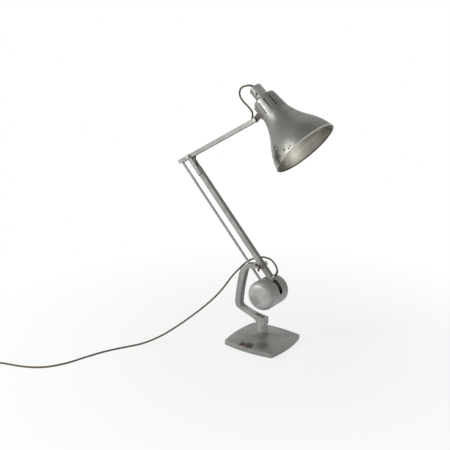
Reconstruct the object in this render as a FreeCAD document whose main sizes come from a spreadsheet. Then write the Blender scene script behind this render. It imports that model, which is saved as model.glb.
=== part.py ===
import FreeCAD, Part
import math
import os
import Sketcher

# Tabletop searchlight lamp: a square cast foot, a swivelling C-shaped bracket, a channel arm
# with one split counterweight at its foot, a parallel rod, an upper channel arm and a bell
# shade whose lampholder has a push bar.
#
# Millimetres. The origin is on the table under the swivel axis, +Z is up, and both arms move in
# the plane Y = 0. The shade looks towards +X and the wing nut is on the -Y side.

Vector = FreeCAD.Vector
document = FreeCAD.newDocument("searchlight_lamp")
sheet = document.addObject("Spreadsheet::Sheet", "Sizes")

# Every driving size: its name, its value and what it measures.
SIZE_TABLE = [
    ("running_fit", 0.05, "radial clearance of a pin or shaft that turns"),
    ("snug_fit", 0.02, "radial clearance of a fixed screw or rivet"),
    ("cord_gap", 0.1, "radial clearance round a cord"),
    ("cord_diameter", 5.0, "braided flex, over its braid"),
    # Foot
    ("base_side", 152.0, "side of the square between its corners"),
    ("base_bow_radius", 344.0, "radius of the outward bow of each side"),
    ("base_edge", 12.5, "height of the upright edge"),
    ("pad_thick", 1.2, "felt under the foot"),
    ("pad_inset", 3.0, "felt edge behind the foot's edge"),
    ("hip_side", 31.0, "side of the small square where the hips end"),
    ("hip_rise", 11.5, "rise of the hipped top above the upright edge"),
    ("boss_radius", 14.0, "round boss under the swivel"),
    ("boss_rise", 8.4, "height of the boss above the hips"),
    ("recess_radius", 17.0, "hollow under the foot for the nut"),
    ("recess_depth", 11.0, "depth of that hollow from the table"),
    ("edge_round", 1.2, "rounding of the foot's upper edge"),
    # Swivel
    ("spigot_radius", 6.0, "steel spigot of the swivel"),
    ("spigot_grip", 30.0, "length of spigot held in the column"),
    ("swivel_washer_thick", 1.0, "fibre washer between boss and column"),
    ("swivel_washer_radius", 13.0, "its outer radius"),
    ("spigot_nut_radius", 10.0, "corner radius of the nut under the foot"),
    ("spigot_nut_thick", 5.0, "thickness of that nut"),
    ("spigot_washer_thick", 1.5, "steel washer above that nut"),
    # Bracket
    ("column_foot_radius", 15.3, "column just above its flange"),
    ("flange_radius", 16.6, "flange at the column's foot"),
    ("flange_thick", 2.6, "thickness of that flange"),
    ("column_top_radius", 11.6, "column at its top"),
    ("column_height", 41.0, "column from its foot to its top"),
    ("cast_half_width", 11.0, "half the width of the bracket"),
    ("gap_half_width", 7.1, "half the channel and fork gap in the bracket"),
    ("grub_radius", 2.0, "grub screw that holds the spigot"),
    ("cast_web", 4.2, "thickness of the bracket's outer web"),
    ("fulcrum_x", -6.0, "fulcrum pin, from the swivel axis"),
    ("fulcrum_z", 225.5, "fulcrum pin above the table"),
    ("nose_radius", 8.5, "rounded end of the fork"),
    ("limb_half", 6.0, "half the depth of the fork limb"),
    ("limb_top_x", -44.0, "outer end of the fork limb, upper edge"),
    ("limb_top_z", 225.0, "its height"),
    ("shoulder_x", -71.0, "upper outside corner of the C"),
    ("shoulder_z", 200.0, "its height"),
    ("shoulder_bend", 38.0, "radius of that corner"),
    ("back_bend", 500.0, "radius of the C's gently bowed back"),
    ("heel_x", -85.6, "lower outside corner of the C"),
    ("heel_z", 110.0, "its height"),
    ("heel_bend", 20.0, "radius of that corner"),
    ("sole_x", -75.5, "outer start of the lower limb"),
    ("sole_z", 88.0, "its height"),
    ("instep_x", -27.0, "outer end of the lower limb"),
    ("instep_z", 69.5, "its height"),
    ("instep_bend", 18.0, "radius of the hollow between limb and column"),
    ("back_thick", 14.6, "depth of the C at its back"),
    ("sole_thick", 11.5, "depth of the lower limb"),
    ("fork_back_x", -60.0, "closed end of the fork's gap"),
    # Fulcrum
    ("fulcrum_bolt_radius", 2.5, "bolt through fork and arm"),
    ("fulcrum_head_radius", 7.4, "ridged round nut on the far side"),
    ("fulcrum_head_thick", 6.5, "its thickness"),
    ("spring_washer_radius", 6.4, "cupped spring washers beside it"),
    ("spring_washer_thick", 1.1, "thickness of one of them"),
    ("near_washer_thick", 1.2, "washer under the wing nut"),
    ("wing_turn", 62.0, "turn of the wings from level"),
    ("wing_hub_radius", 4.2, "hub of the wing nut"),
    ("wing_hub_thick", 6.0, "its thickness"),
    ("wing_span", 11.5, "reach of a wing from the bolt"),
    ("wing_thick", 2.2, "thickness of a wing"),
    # Lower arm
    ("arm_lean", 131.5, "lower arm from the +X direction"),
    ("arm_length", 368.0, "fulcrum to elbow"),
    ("weight_reach", 76.5, "fulcrum to the weight's pin"),
    ("arm_half_width", 6.5, "half the width of the lower channel"),
    ("arm_front", 9.6, "channel's web face in front of the pin line"),
    ("arm_back", 4.4, "channel's open edge behind the pin line"),
    ("arm_wall", 1.6, "wall of the lower channel"),
    ("arm_tip", 7.0, "channel beyond the weight's pin"),
    ("arm_stop", 40.0, "end of the channel below the elbow"),
    ("ear_length", 62.0, "elbow ear from the elbow down"),
    ("ear_thick", 2.4, "thickness of an ear"),
    ("ear_radius", 7.0, "half the width of an ear"),
    ("elbow_bolt_radius", 2.5, "elbow bolt"),
    ("bolt_head_radius", 5.0, "corner radius of a bolt head"),
    ("bolt_head_thick", 3.6, "thickness of a bolt head"),
    ("rivet_radius", 1.9, "shank of an ear rivet"),
    ("rivet_head_radius", 3.4, "head of an ear rivet"),
    ("rivet_head_thick", 1.3, "its thickness"),
    ("bush_place", 45.0, "cord bush below the fulcrum"),
    ("bush_hole_radius", 4.4, "hole in the web for the cord bush"),
    ("bush_flange_radius", 5.8, "flange of the cord bush"),
    ("bush_length", 9.0, "tapered sleeve outside the web"),
    ("clip_place", 21.5, "cord clip above the fulcrum"),
    ("clip_tilt", 25.0, "turn of the clip from square to the arm"),
    ("clip_screw_radius", 1.5, "clip's screw"),
    ("clip_width", 6.0, "width of the cord clip"),
    ("clip_wall", 1.0, "thickness of the clip strip"),
    ("clip_tail", 12.0, "clip's tab from the cord to its end"),
    # Upper arm
    ("upper_lean", 28.4, "upper arm above the +X direction"),
    ("upper_length", 247.0, "elbow to head pivot"),
    ("tail_length", 32.0, "elbow to the rod's upper pin"),
    ("tail_tip", 8.0, "channel beyond that pin"),
    ("upper_half_width", 6.0, "half the width of the upper channel"),
    ("upper_top", 6.0, "web face above the pin line"),
    ("upper_bottom", 5.5, "open edge below the pin line"),
    ("upper_wall", 1.5, "wall of the upper channel"),
    ("web_stop", 17.0, "web ends this far short of the head pivot"),
    ("cheek_radius", 7.0, "rounded cheeks at the head pivot"),
    ("tail_pin_radius", 2.0, "pin at the rod's upper end"),
    # Rod
    ("rod_radius", 3.6, "parallel rod"),
    ("rod_eye_radius", 4.2, "eye at the rod's upper end"),
    ("rod_foot_radius", 6.0, "eye at the rod's lower end"),
    ("rod_half_thick", 3.9, "half the thickness of both eyes"),
    ("open_pivot_gap", 0.3, "clearance at the rod's lower pin"),
    # Counterweight
    ("weight_radius", 41.0, "radius of the weight"),
    ("weight_half_length", 50.5, "seam to either end"),
    ("weight_round", 19.0, "rounding of its ends"),
    ("slot_half_width", 7.0, "half the slot between the halves"),
    ("slot_first", -23.4, "front end of the slot, from the pin line"),
    ("slot_last", 152.0, "back end of the slot, from the pin line"),
    ("slot_hub_radius", 15.5, "slot round the rod's lower eye"),
    ("weight_pin_radius", 3.0, "both pins in the weight"),
    ("weight_pin_half", 18.0, "half the length of those pins"),
    ("clamp_radius", 2.5, "shank of a clamping screw"),
    ("clamp_bite", 16.0, "its thread in the near half"),
    ("clamp_head_radius", 4.5, "head of a clamping screw"),
    ("clamp_head_thick", 3.0, "thickness of that head"),
    # Head
    ("head_drop", 43.3, "shade axis below the +X direction"),
    ("mouth_reach", 150.0, "head pivot to the mouth, along the axis"),
    ("axis_offset", 58.0, "head pivot to the shade axis"),
    ("mouth_radius", 88.9, "shade at its mouth"),
    ("bell_depth", 58.0, "from the mouth to the widest bend"),
    ("bell_radius", 63.6, "shade there"),
    ("bell_bend", 159.0, "bulging bend next to the mouth"),
    ("flare_depth", 118.0, "from the mouth to the neck"),
    ("flare_radius", 36.2, "neck's lower end"),
    ("flare_bend", 177.0, "hollow bend next to the neck"),
    ("neck_depth", 167.0, "from the mouth to the shoulder"),
    ("neck_radius", 32.0, "neck's upper end"),
    ("shade_depth", 172.0, "from the mouth to the flat top"),
    ("top_radius", 27.0, "flat top inside its rounded shoulder"),
    ("shade_wall", 0.9, "sheet thickness, measured across the axis"),
    ("bead_radius", 1.7, "rolled bead at the mouth"),
    ("vent_count", 4.0, "slots on each side of the neck"),
    ("vent_length", 33.0, "length of a slot"),
    ("vent_width", 2.6, "width of a slot"),
    ("vent_end", 160.0, "slot's upper end from the mouth"),
    ("vent_phase", 34.6, "first slot of a side, round from the top"),
    ("vent_pitch", 30.0, "angle from one slot to the next"),
    ("lug_half_thick", 4.0, "half the thickness of the head lug"),
    ("lug_eye_radius", 7.0, "eye of the head lug"),
    ("saddle_thick", 2.6, "saddle of the lug on the neck"),
    ("saddle_length", 34.0, "its length along the axis"),
    ("saddle_half_width", 15.0, "half its width"),
    ("lug_screw_radius", 1.8, "screws through saddle and neck"),
    ("lug_screw_spread", 11.0, "from the pivot line to each screw"),
    ("head_bolt_radius", 3.0, "head pivot bolt"),
    ("disc_radius", 6.2, "its domed disc head"),
    ("disc_thick", 2.6, "thickness of that head"),
    # Lampholder
    ("cap_radius", 17.3, "lampholder cap above the shade"),
    ("cap_length", 36.5, "height of the cap"),
    ("cap_wall", 1.4, "its wall"),
    ("holder_hole_radius", 14.3, "hole in the shade's top"),
    ("holder_radius", 14.0, "lampholder barrel inside the shade"),
    ("holder_bore", 11.5, "bore of the barrel"),
    ("holder_length", 22.0, "barrel below the shade's top"),
    ("holder_stub", 8.0, "barrel above the shade's top"),
    ("skirt_radius", 20.0, "clamping ring under the shade's top"),
    ("skirt_thick", 5.0, "its thickness"),
    ("block_length", 5.0, "insulating block above the barrel"),
    ("plunger_radius", 1.8, "contact plungers"),
    ("plunger_length", 14.0, "their length"),
    ("bar_place", 188.0, "push bar from the mouth"),
    ("bar_half", 2.4, "half the width of the push bar"),
    ("bar_out", 5.0, "push bar standing out on the -Y side"),
    ("bar_travel", 5.0, "its stroke"),
    ("gland_radius", 5.6, "cord gland on the cap"),
    ("gland_length", 5.0, "its height"),
    # Bulb
    ("bulb_cap_radius", 11.0, "bulb's metal cap"),
    ("bulb_cap_length", 20.0, "its length"),
    ("bulb_radius", 30.0, "glass ball"),
    ("bulb_length", 104.0, "overall length of the bulb"),
    ("bulb_neck_radius", 14.0, "glass where it meets the cap"),
    ("glass_wall", 1.0, "glass, modelled wall"),
    # Name plate
    ("plate_x", -8.0, "middle of the blank plate"),
    ("plate_y", -72.0, "its distance towards the front"),
    ("plate_length", 38.0, "blank plate on the foot"),
    ("plate_height", 14.0, "its height up the slope"),
    ("plate_thick", 0.5, "its thickness"),
    # Flex inside the arms
    ("inner_cord_drop", 5.3, "flex in front of the lower arm's pin line"),
    ("upper_cord_rise", 1.2, "flex above the upper arm's pin line"),
    # Coil
    ("coil_x", -565.0, "middle of the coil"),
    ("coil_y", -560.0, "middle of the coil"),
    ("coil_radius", 35.0, "outermost turn's middle line"),
    ("coil_gap", 0.6, "gap between the coil's turns"),
    # Plug
    ("plug_gap", 34.0, "from the coil's last turn to the plug"),
    ("plug_width", 50.0, "plug across its pins"),
    ("plug_height", 48.0, "plug from its cord entry to its far side"),
    ("plug_base_thick", 7.0, "half of the plug that holds the pins"),
    ("plug_cover_thick", 14.0, "cover half of the plug"),
    ("plug_corner", 9.0, "rounding of its corners"),
    ("plug_entry", 9.0, "depth of the cord's hole in the plug"),
    ("pin_length", 17.7, "line and neutral pins"),
    ("pin_spread", 22.2, "distance between them, and of the earth pin from their line"),
    ("pin_thick", 4.0, "thickness of every pin"),
    ("pin_width", 6.4, "width of the line and neutral pins"),
    ("earth_pin_length", 22.7, "earth pin"),
    ("earth_pin_width", 8.0, "its width"),
]


class Dim:
    """A size that keeps its number and the sheet expression that gives it."""

    def __init__(self, number, text):
        self.number = float(number)
        self.text = text

    def joined(self, other, sign, number):
        return Dim(number, "(" + self.text + " " + sign + " " + dim(other).text + ")")

    def __add__(self, other):
        return self.joined(other, "+", self.number + dim(other).number)

    def __sub__(self, other):
        return self.joined(other, "-", self.number - dim(other).number)

    def __mul__(self, other):
        return self.joined(other, "*", self.number * dim(other).number)

    def __truediv__(self, other):
        return self.joined(other, "/", self.number / dim(other).number)

    def __radd__(self, other):
        return dim(other) + self

    def __rsub__(self, other):
        return dim(other) - self

    def __rmul__(self, other):
        return dim(other) * self

    def __neg__(self):
        return Dim(-self.number, "(0 - " + self.text + ")")


def dim(value):
    if isinstance(value, Dim):
        return value
    return Dim(value, "(" + repr(float(value)) + ")")


def cosine(angle):
    return Dim(math.cos(math.radians(angle.number)), "cos(" + angle.text + ")")


def sine(angle):
    return Dim(math.sin(math.radians(angle.number)), "sin(" + angle.text + ")")


class Sizes:
    """The sheet's cells by name."""


size = Sizes()
for row, (name, value, meaning) in enumerate(SIZE_TABLE, start=1):
    sheet.set("A" + str(row), meaning)
    sheet.set("B" + str(row), repr(value))
    sheet.setAlias("B" + str(row), name)
    setattr(size, name, Dim(value, "Sizes." + name))
document.recompute()

nodes = []
counter = [0]


def fresh(word):
    counter[0] = counter[0] + 1
    return word + "_" + str(counter[0])


def bind(thing, prop, value):
    thing.setExpression(prop, dim(value).text)


# Axis turns for primitives, which are made along +Z.
TURNS = {
    "X": FreeCAD.Rotation(Vector(0, 1, 0), 90),
    "Y": FreeCAD.Rotation(Vector(1, 0, 0), -90),
    "Z": FreeCAD.Rotation(),
}


def put(thing, at, axis="Z"):
    at = [dim(value) for value in at]
    thing.Placement = FreeCAD.Placement(Vector(*[value.number for value in at]), TURNS[axis])
    for letter, value in zip("xyz", at):
        bind(thing, "Placement.Base." + letter, value)
    return thing


def cylinder(radius, length, at, axis="Z"):
    thing = document.addObject("Part::Cylinder", fresh("cylinder"))
    bind(thing, "Radius", radius)
    bind(thing, "Height", length)
    return put(thing, at, axis)


def cone(radius_start, radius_end, length, at, axis="Z"):
    thing = document.addObject("Part::Cone", fresh("cone"))
    bind(thing, "Radius1", radius_start)
    bind(thing, "Radius2", radius_end)
    bind(thing, "Height", length)
    return put(thing, at, axis)


def prism(sides, radius, length, at, axis="Z"):
    thing = document.addObject("Part::Prism", fresh("prism"))
    thing.Polygon = sides
    bind(thing, "Circumradius", radius)
    bind(thing, "Height", length)
    return put(thing, at, axis)


def ring_bar(radius_ring, radius_bar, at, axis="Z"):
    thing = document.addObject("Part::Torus", fresh("torus"))
    bind(thing, "Radius1", radius_ring)
    bind(thing, "Radius2", radius_bar)
    return put(thing, at, axis)


def block(x_from, x_to, y_from, y_to, z_from, z_to):
    thing = document.addObject("Part::Box", fresh("block"))
    bind(thing, "Length", dim(x_to) - x_from)
    bind(thing, "Width", dim(y_to) - y_from)
    bind(thing, "Height", dim(z_to) - z_from)
    return put(thing, (x_from, y_from, z_from))


def cut(base, *tools):
    for tool in tools:
        thing = document.addObject("Part::Cut", fresh("cut"))
        thing.Base = base
        thing.Tool = tool
        base = thing
    return base


def fuse(*pieces):
    thing = document.addObject("Part::MultiFuse", fresh("fuse"))
    thing.Shapes = list(pieces)
    return thing


def common(base, tool):
    thing = document.addObject("Part::Common", fresh("common"))
    thing.Base = base
    thing.Tool = tool
    return thing


def group(*pieces):
    """Several like solids, or one, that keep their own places in one node."""
    thing = document.addObject("Part::Compound", fresh("group"))
    thing.Links = list(pieces)
    return thing


class Frame:
    """A place in the arm plane and a turn about Y, for the pieces drawn in it."""

    def __init__(self, x, z, turn):
        self.x = dim(x)
        self.z = dim(z)
        self.turn = dim(turn)

    def point(self, along, above):
        """The table-frame X and Z of a point drawn in this frame."""
        along = dim(along)
        above = dim(above)
        x = self.x + along * cosine(self.turn) + above * sine(self.turn)
        z = self.z - along * sine(self.turn) + above * cosine(self.turn)
        return x, z

    def numbers(self, along, side, above):
        x, z = self.point(along, above)
        return Vector(x.number, dim(side).number, z.number)


def node(thing, label, frame=None):
    """Name a sub-part and, if it is drawn in a frame, stand it there."""
    thing.Label = label
    if frame is not None:
        turn = FreeCAD.Rotation(Vector(0, 1, 0), frame.turn.number)
        thing.Placement = FreeCAD.Placement(Vector(frame.x.number, 0, frame.z.number), turn)
        bind(thing, "Placement.Base.x", frame.x)
        bind(thing, "Placement.Base.z", frame.z)
        bind(thing, "Placement.Rotation.Angle", frame.turn)
    nodes.append(thing)
    return thing


def casting():
    """A body for sketches and the features that use them."""
    return document.addObject("PartDesign::Body", fresh("body"))


def sketch(owner, plane, height=None):
    thing = owner.newObject("Sketcher::SketchObject", fresh("sketch"))
    face = [part for part in owner.Origin.OriginFeatures if part.Role == plane + "_Plane"][0]
    thing.AttachmentSupport = [(face, "")]
    thing.MapMode = "FlatFace"
    if height is not None:
        bind(thing, "AttachmentOffset.Base.z", height)
    return thing


def pin_point(drawing, edge, end, x, y):
    """Hold one end of an edge at its distances from the sketch's origin."""
    for kind, value in (("DistanceX", x), ("DistanceY", y)):
        constraint = Sketcher.Constraint(kind, -1, 1, edge, end, value.number)
        index = drawing.addConstraint(constraint)
        label = "d" + str(index)
        drawing.renameConstraint(index, label)
        drawing.setExpression("Constraints." + label, value.text)


def arc_middle(start, end, bend):
    """Middle of the short arc from start to end; a positive bend turns left."""
    chord = end - start
    left = Vector(-chord.y, chord.x, 0).normalize()
    reach = math.sqrt(bend * bend - chord.Length * chord.Length / 4)
    side = 1 if bend > 0 else -1
    return (start + end) * 0.5 - left * side * (abs(bend) - reach)


def outline(drawing, corners):
    """A closed outline. A corner is (x, y) or (x, y, bend of the arc that follows it)."""
    corners = [(dim(c[0]), dim(c[1]), dim(c[2]) if len(c) > 2 else None) for c in corners]
    places = [Vector(c[0].number, c[1].number, 0) for c in corners]
    ends = []
    for index, (x, y, bend) in enumerate(corners):
        start = places[index]
        end = places[(index + 1) % len(places)]
        if bend is None:
            edge = drawing.addGeometry(Part.LineSegment(start, end), False)
        else:
            middle = arc_middle(start, end, bend.number)
            edge = drawing.addGeometry(Part.Arc(start, middle, end), False)
        first = 1 if drawing.getPoint(edge, 1).distanceToPoint(start) < 1e-6 else 2
        ends.append((edge, first))
        pin_point(drawing, edge, first, x, y)
    for index, (edge, first) in enumerate(ends):
        after, after_first = ends[(index + 1) % len(ends)]
        joint = Sketcher.Constraint("Coincident", edge, 3 - first, after, after_first)
        drawing.addConstraint(joint)
        bend = corners[index][2]
        if bend is not None:
            radius = Sketcher.Constraint("Radius", edge, abs(bend.number))
            place = drawing.addConstraint(radius)
            label = "r" + str(place)
            drawing.renameConstraint(place, label)
            text = bend.text if bend.number > 0 else "(0 - " + bend.text + ")"
            drawing.setExpression("Constraints." + label, text)


def disc(drawing, radius, x=0, y=0):
    x = dim(x)
    y = dim(y)
    radius = dim(radius)
    circle = Part.Circle(Vector(x.number, y.number, 0), Vector(0, 0, 1), radius.number)
    edge = drawing.addGeometry(circle, False)
    pin_point(drawing, edge, 3, x, y)
    index = drawing.addConstraint(Sketcher.Constraint("Radius", edge, radius.number))
    label = "r" + str(index)
    drawing.renameConstraint(index, label)
    drawing.setExpression("Constraints." + label, radius.text)


def pad(owner, drawing, length, both_ways=False, backwards=False):
    thing = owner.newObject("PartDesign::Pad", fresh("pad"))
    thing.Profile = drawing
    bind(thing, "Length", length)
    thing.SideType = "Symmetric" if both_ways else "One side"
    thing.Reversed = backwards
    return thing


def pocket(owner, drawing, length, both_ways=False, backwards=False):
    thing = owner.newObject("PartDesign::Pocket", fresh("pocket"))
    thing.Profile = drawing
    bind(thing, "Length", length)
    thing.SideType = "Symmetric" if both_ways else "One side"
    thing.Reversed = backwards
    return thing


def spin(owner, drawing, axis):
    thing = owner.newObject("PartDesign::Revolution", fresh("spin"))
    thing.Profile = drawing
    thing.ReferenceAxis = (drawing, [axis])
    thing.Angle = 360
    return thing


def round_edges(owner, feature, radius, wanted):
    """Fillet the edges of a feature that the wanted test picks out."""
    document.recompute()
    names = []
    for index, edge in enumerate(feature.Shape.Edges, start=1):
        if wanted(edge):
            names.append("Edge" + str(index))
    thing = owner.newObject("PartDesign::Fillet", fresh("fillet"))
    thing.Base = (feature, names)
    bind(thing, "Radius", radius)
    return thing


# Frames of the moving pieces

fulcrum = Frame(size.fulcrum_x, size.fulcrum_z, -size.arm_lean)
elbow_x, elbow_z = fulcrum.point(size.arm_length, 0)
elbow = Frame(elbow_x, elbow_z, -size.upper_lean)
tail_x, tail_z = elbow.point(-size.tail_length, 0)
tail = Frame(tail_x, tail_z, 180 - size.arm_lean)
rod_length = size.arm_length + size.weight_reach
hub_x, hub_z = tail.point(rod_length, 0)
weight = Frame(hub_x, hub_z, -size.upper_lean)
head_x, head_z = elbow.point(size.upper_length, 0)
head = Frame(head_x, head_z, size.head_drop)
mouth_x, mouth_z = head.point(size.mouth_reach, size.axis_offset)
mouth = Frame(mouth_x, mouth_z, size.head_drop)
cord_radius = size.cord_diameter / 2


# Foot

half_side = size.base_side / 2
edge_top = size.pad_thick + size.base_edge
hip_top = edge_top + size.hip_rise
boss_top = hip_top + size.boss_rise


def bowed_square(drawing, half, bend):
    outline(drawing, [(-half, -half, bend), (half, -half, bend), (half, half, bend), (-half, half, bend)])


base_plate = casting()
node(base_plate, "base_plate")
foot_drawing = sketch(base_plate, "XY", size.pad_thick)
bowed_square(foot_drawing, half_side, size.base_bow_radius)
pad(base_plate, foot_drawing, size.base_edge)
hip_low = sketch(base_plate, "XY", edge_top)
bowed_square(hip_low, half_side, size.base_bow_radius)
hip_high = sketch(base_plate, "XY", hip_top)
bowed_square(hip_high, size.hip_side / 2, size.base_bow_radius)
hips = base_plate.newObject("PartDesign::AdditiveLoft", "hips")
hips.Profile = hip_low
hips.Sections = [hip_high]
hips.Ruled = True
boss_drawing = sketch(base_plate, "XY", hip_top - size.edge_round)
disc(boss_drawing, size.boss_radius)
pad(base_plate, boss_drawing, size.boss_rise + size.edge_round)
bore_drawing = sketch(base_plate, "XY", boss_top)
disc(bore_drawing, size.spigot_radius + size.running_fit)
pocket(base_plate, bore_drawing, boss_top)
recess_drawing = sketch(base_plate, "XY", size.pad_thick)
disc(recess_drawing, size.recess_radius)
foot_hollow = pocket(base_plate, recess_drawing, size.recess_depth - size.pad_thick, backwards=True)
round_edges(
    base_plate,
    foot_hollow,
    size.edge_round,
    lambda edge: abs(edge.BoundBox.ZMin - edge_top.number) < 0.01
    and edge.BoundBox.ZLength < 0.01
    and edge.Length > size.hip_side.number * 2,
)

base_pad = casting()
node(base_pad, "base_felt_pad")
pad_drawing = sketch(base_pad, "XY")
bowed_square(pad_drawing, half_side - size.pad_inset, size.base_bow_radius)
pad(base_pad, pad_drawing, size.pad_thick)

# The blank plate lies on the front hip. The hip's lower edge is bowed out, so it starts there.
bow = size.base_side * size.base_side / (8 * size.base_bow_radius)
hip_foot_y = half_side + bow
hip_run = hip_foot_y - size.hip_side / 2
hip_slope = math.degrees(math.atan2(size.hip_rise.number, hip_run.number))
plate_z = edge_top + size.hip_rise * (hip_foot_y + size.plate_y) / hip_run
plate_block = block(
    -size.plate_length / 2,
    size.plate_length / 2,
    -size.plate_height / 2,
    size.plate_height / 2,
    -2 * size.plate_thick,
    size.plate_thick,
)
plate_holder = group(plate_block)
plate_place = (size.plate_x, size.plate_y, plate_z)
plate_holder.Placement = FreeCAD.Placement(
    Vector(*[value.number for value in plate_place]), FreeCAD.Rotation(Vector(1, 0, 0), hip_slope)
)
for letter, value in zip("xyz", plate_place):
    bind(plate_holder, "Placement.Base." + letter, value)
node(cut(plate_holder, base_plate), "blank_plate")
# Short lengths that only help to draw or to cut: tools run this far past and through.
OVERRUN = 5
THROUGH = 30


# Swivel

column_foot = boss_top + size.swivel_washer_thick
column_top = column_foot + size.column_height
spigot_top = column_foot + size.spigot_grip
washer_top = size.recess_depth
nut_top = washer_top - size.spigot_washer_thick
nut_foot = nut_top - size.spigot_nut_thick

swivel_ring = cut(
    cylinder(size.swivel_washer_radius, size.swivel_washer_thick, (0, 0, boss_top)),
    cylinder(size.spigot_radius + size.running_fit, size.swivel_washer_thick + 2, (0, 0, boss_top - 1)),
)
node(swivel_ring, "swivel_washer")
node(
    group(cylinder(size.spigot_radius, spigot_top - nut_foot + 1, (0, 0, nut_foot - 1))),
    "swivel_spigot",
)
spigot_ring = cut(
    cylinder(size.spigot_nut_radius, size.spigot_washer_thick - size.running_fit, (0, 0, nut_top)),
    cylinder(size.spigot_radius + size.snug_fit, size.spigot_washer_thick + 2, (0, 0, nut_top - 1)),
)
node(spigot_ring, "spigot_washer")
spigot_nut = cut(
    prism(6, size.spigot_nut_radius, size.spigot_nut_thick, (0, 0, nut_foot)),
    cylinder(size.spigot_radius + size.snug_fit, size.spigot_nut_thick + 2, (0, 0, nut_foot - 1)),
)
node(spigot_nut, "spigot_nut")
# Steps, lips and bends of the bracket's drawings.
FOOT_RING_STEP = 1.3
TAPER_END = 20
CORNER_SHARE = 1.1
HEEL_WEB = 6
SOLE_WEB = 4.5
COLUMN_BEND = 240
SOLE_BEND = 12
BACK_BEND = 520
SHOULDER_BEND = 20
FORK_CLEAR = 30
FORK_FLOOR = 9
CHANNEL_LIP = 1.6
COLUMN_LIP = 5
COLUMN_CLEAR = 7
INSIDE_X = 30
INSIDE_RISE = 45
INSIDE_DROP = 20
SOCKET_SPARE = 0.5
GRUB_RISE = 16
GRUB_SUNK = 1.2
HEAD_WASHER = 2.5


# Bracket: a C-shaped channel, open towards its inside, whose upper limb is a fork.

bracket = casting()
column_drawing = sketch(bracket, "XZ")
outline(
    column_drawing,
    [
        (0, column_foot),
        (size.flange_radius, column_foot),
        (size.flange_radius, column_foot + size.flange_thick),
        (size.column_foot_radius, column_foot + size.flange_thick + FOOT_RING_STEP),
        (size.column_top_radius, column_top),
        (0, column_top),
    ],
)
spin(bracket, column_drawing, "V_Axis")

limb_drop = size.fulcrum_z - size.limb_half
shoulder_in_x = size.shoulder_x + size.back_thick * CORNER_SHARE
shoulder_in_z = size.shoulder_z - 4
heel_in_x = size.heel_x + size.back_thick
heel_in_z = size.heel_z - HEEL_WEB
sole_in_z = size.sole_z + SOLE_WEB
sole_in_x = size.sole_x + size.sole_thick + 4
limb_in_x = size.limb_top_x + 3
limb_in_z = size.limb_top_z - size.limb_half * 2
outside = [
    (size.fulcrum_x, size.fulcrum_z + size.limb_half),
    (size.limb_top_x, size.limb_top_z, size.shoulder_bend),
    (size.shoulder_x, size.shoulder_z, size.back_bend),
    (size.heel_x, size.heel_z, size.heel_bend),
    (size.sole_x, size.sole_z),
    (size.instep_x, size.instep_z, -size.instep_bend),
    (-size.column_foot_radius + FOOT_RING_STEP, column_top - TAPER_END),
]
inside = [
    (size.column_top_radius, column_top - TAPER_END),
    (size.column_top_radius, column_top, -COLUMN_BEND),
    (sole_in_x, sole_in_z, -SOLE_BEND),
    (heel_in_x, heel_in_z, -BACK_BEND),
    (shoulder_in_x, shoulder_in_z, -SHOULDER_BEND),
    (limb_in_x, limb_in_z),
    (size.fulcrum_x, limb_drop),
]
c_drawing = sketch(bracket, "XZ")
outline(c_drawing, outside + inside)
pad(bracket, c_drawing, size.cast_half_width * 2, both_ways=True)
nose_drawing = sketch(bracket, "XZ")
disc(nose_drawing, size.nose_radius, size.fulcrum_x, size.fulcrum_z)
pad(bracket, nose_drawing, size.cast_half_width * 2, both_ways=True)

# Channel and fork gap, drawn past the casting's open side.
web = size.cast_web
channel_drawing = sketch(bracket, "XZ")
outline(
    channel_drawing,
    [
        (size.fulcrum_x + FORK_CLEAR, size.fulcrum_z + FORK_CLEAR),
        (size.fork_back_x, size.fulcrum_z + FORK_CLEAR),
        (size.fork_back_x, size.shoulder_z + FORK_FLOOR),
        (size.shoulder_x + web, size.shoulder_z - 1, size.back_bend),
        (size.heel_x + web, size.heel_z, size.heel_bend - web),
        (size.sole_x + CHANNEL_LIP, size.sole_z + web),
        (size.instep_x + 3, size.instep_z + web - 1),
        (size.column_top_radius - COLUMN_LIP, column_top - COLUMN_CLEAR),
        (size.column_top_radius - COLUMN_LIP, column_top + COLUMN_CLEAR - 1),
        (-INSIDE_X, column_top + INSIDE_RISE),
        (-INSIDE_X - 10, size.shoulder_z - INSIDE_DROP),
        (size.fulcrum_x + FORK_CLEAR, size.fulcrum_z - FORK_CLEAR),
    ],
)
pocket(bracket, channel_drawing, size.gap_half_width * 2, both_ways=True)
pin_drawing = sketch(bracket, "XZ")
disc(pin_drawing, size.fulcrum_bolt_radius + size.snug_fit, size.fulcrum_x, size.fulcrum_z)
pocket(bracket, pin_drawing, size.cast_half_width * 4, both_ways=True)
socket_drawing = sketch(bracket, "XY", column_foot)
disc(socket_drawing, size.spigot_radius + size.snug_fit)
pocket(bracket, socket_drawing, size.spigot_grip + SOCKET_SPARE, backwards=True)

# A grub screw in the back of the column holds the spigot.
grub_z = column_foot + GRUB_RISE
grub_hole = cylinder(
    size.grub_radius + size.snug_fit, size.column_foot_radius, (-size.column_foot_radius - 1, 0, grub_z), "X"
)
node(cut(bracket, grub_hole), "stem_bracket")
grub_length = size.column_foot_radius - size.spigot_radius - GRUB_SUNK
grub_start = -size.spigot_radius - size.snug_fit - grub_length
node(group(cylinder(size.grub_radius, grub_length, (grub_start, 0, grub_z), "X")), "column_grub_screw")

# Fulcrum: a bolt through both prongs with spring washers and a ridged round nut on the far
# side, and a wing nut on the near side.

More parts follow.
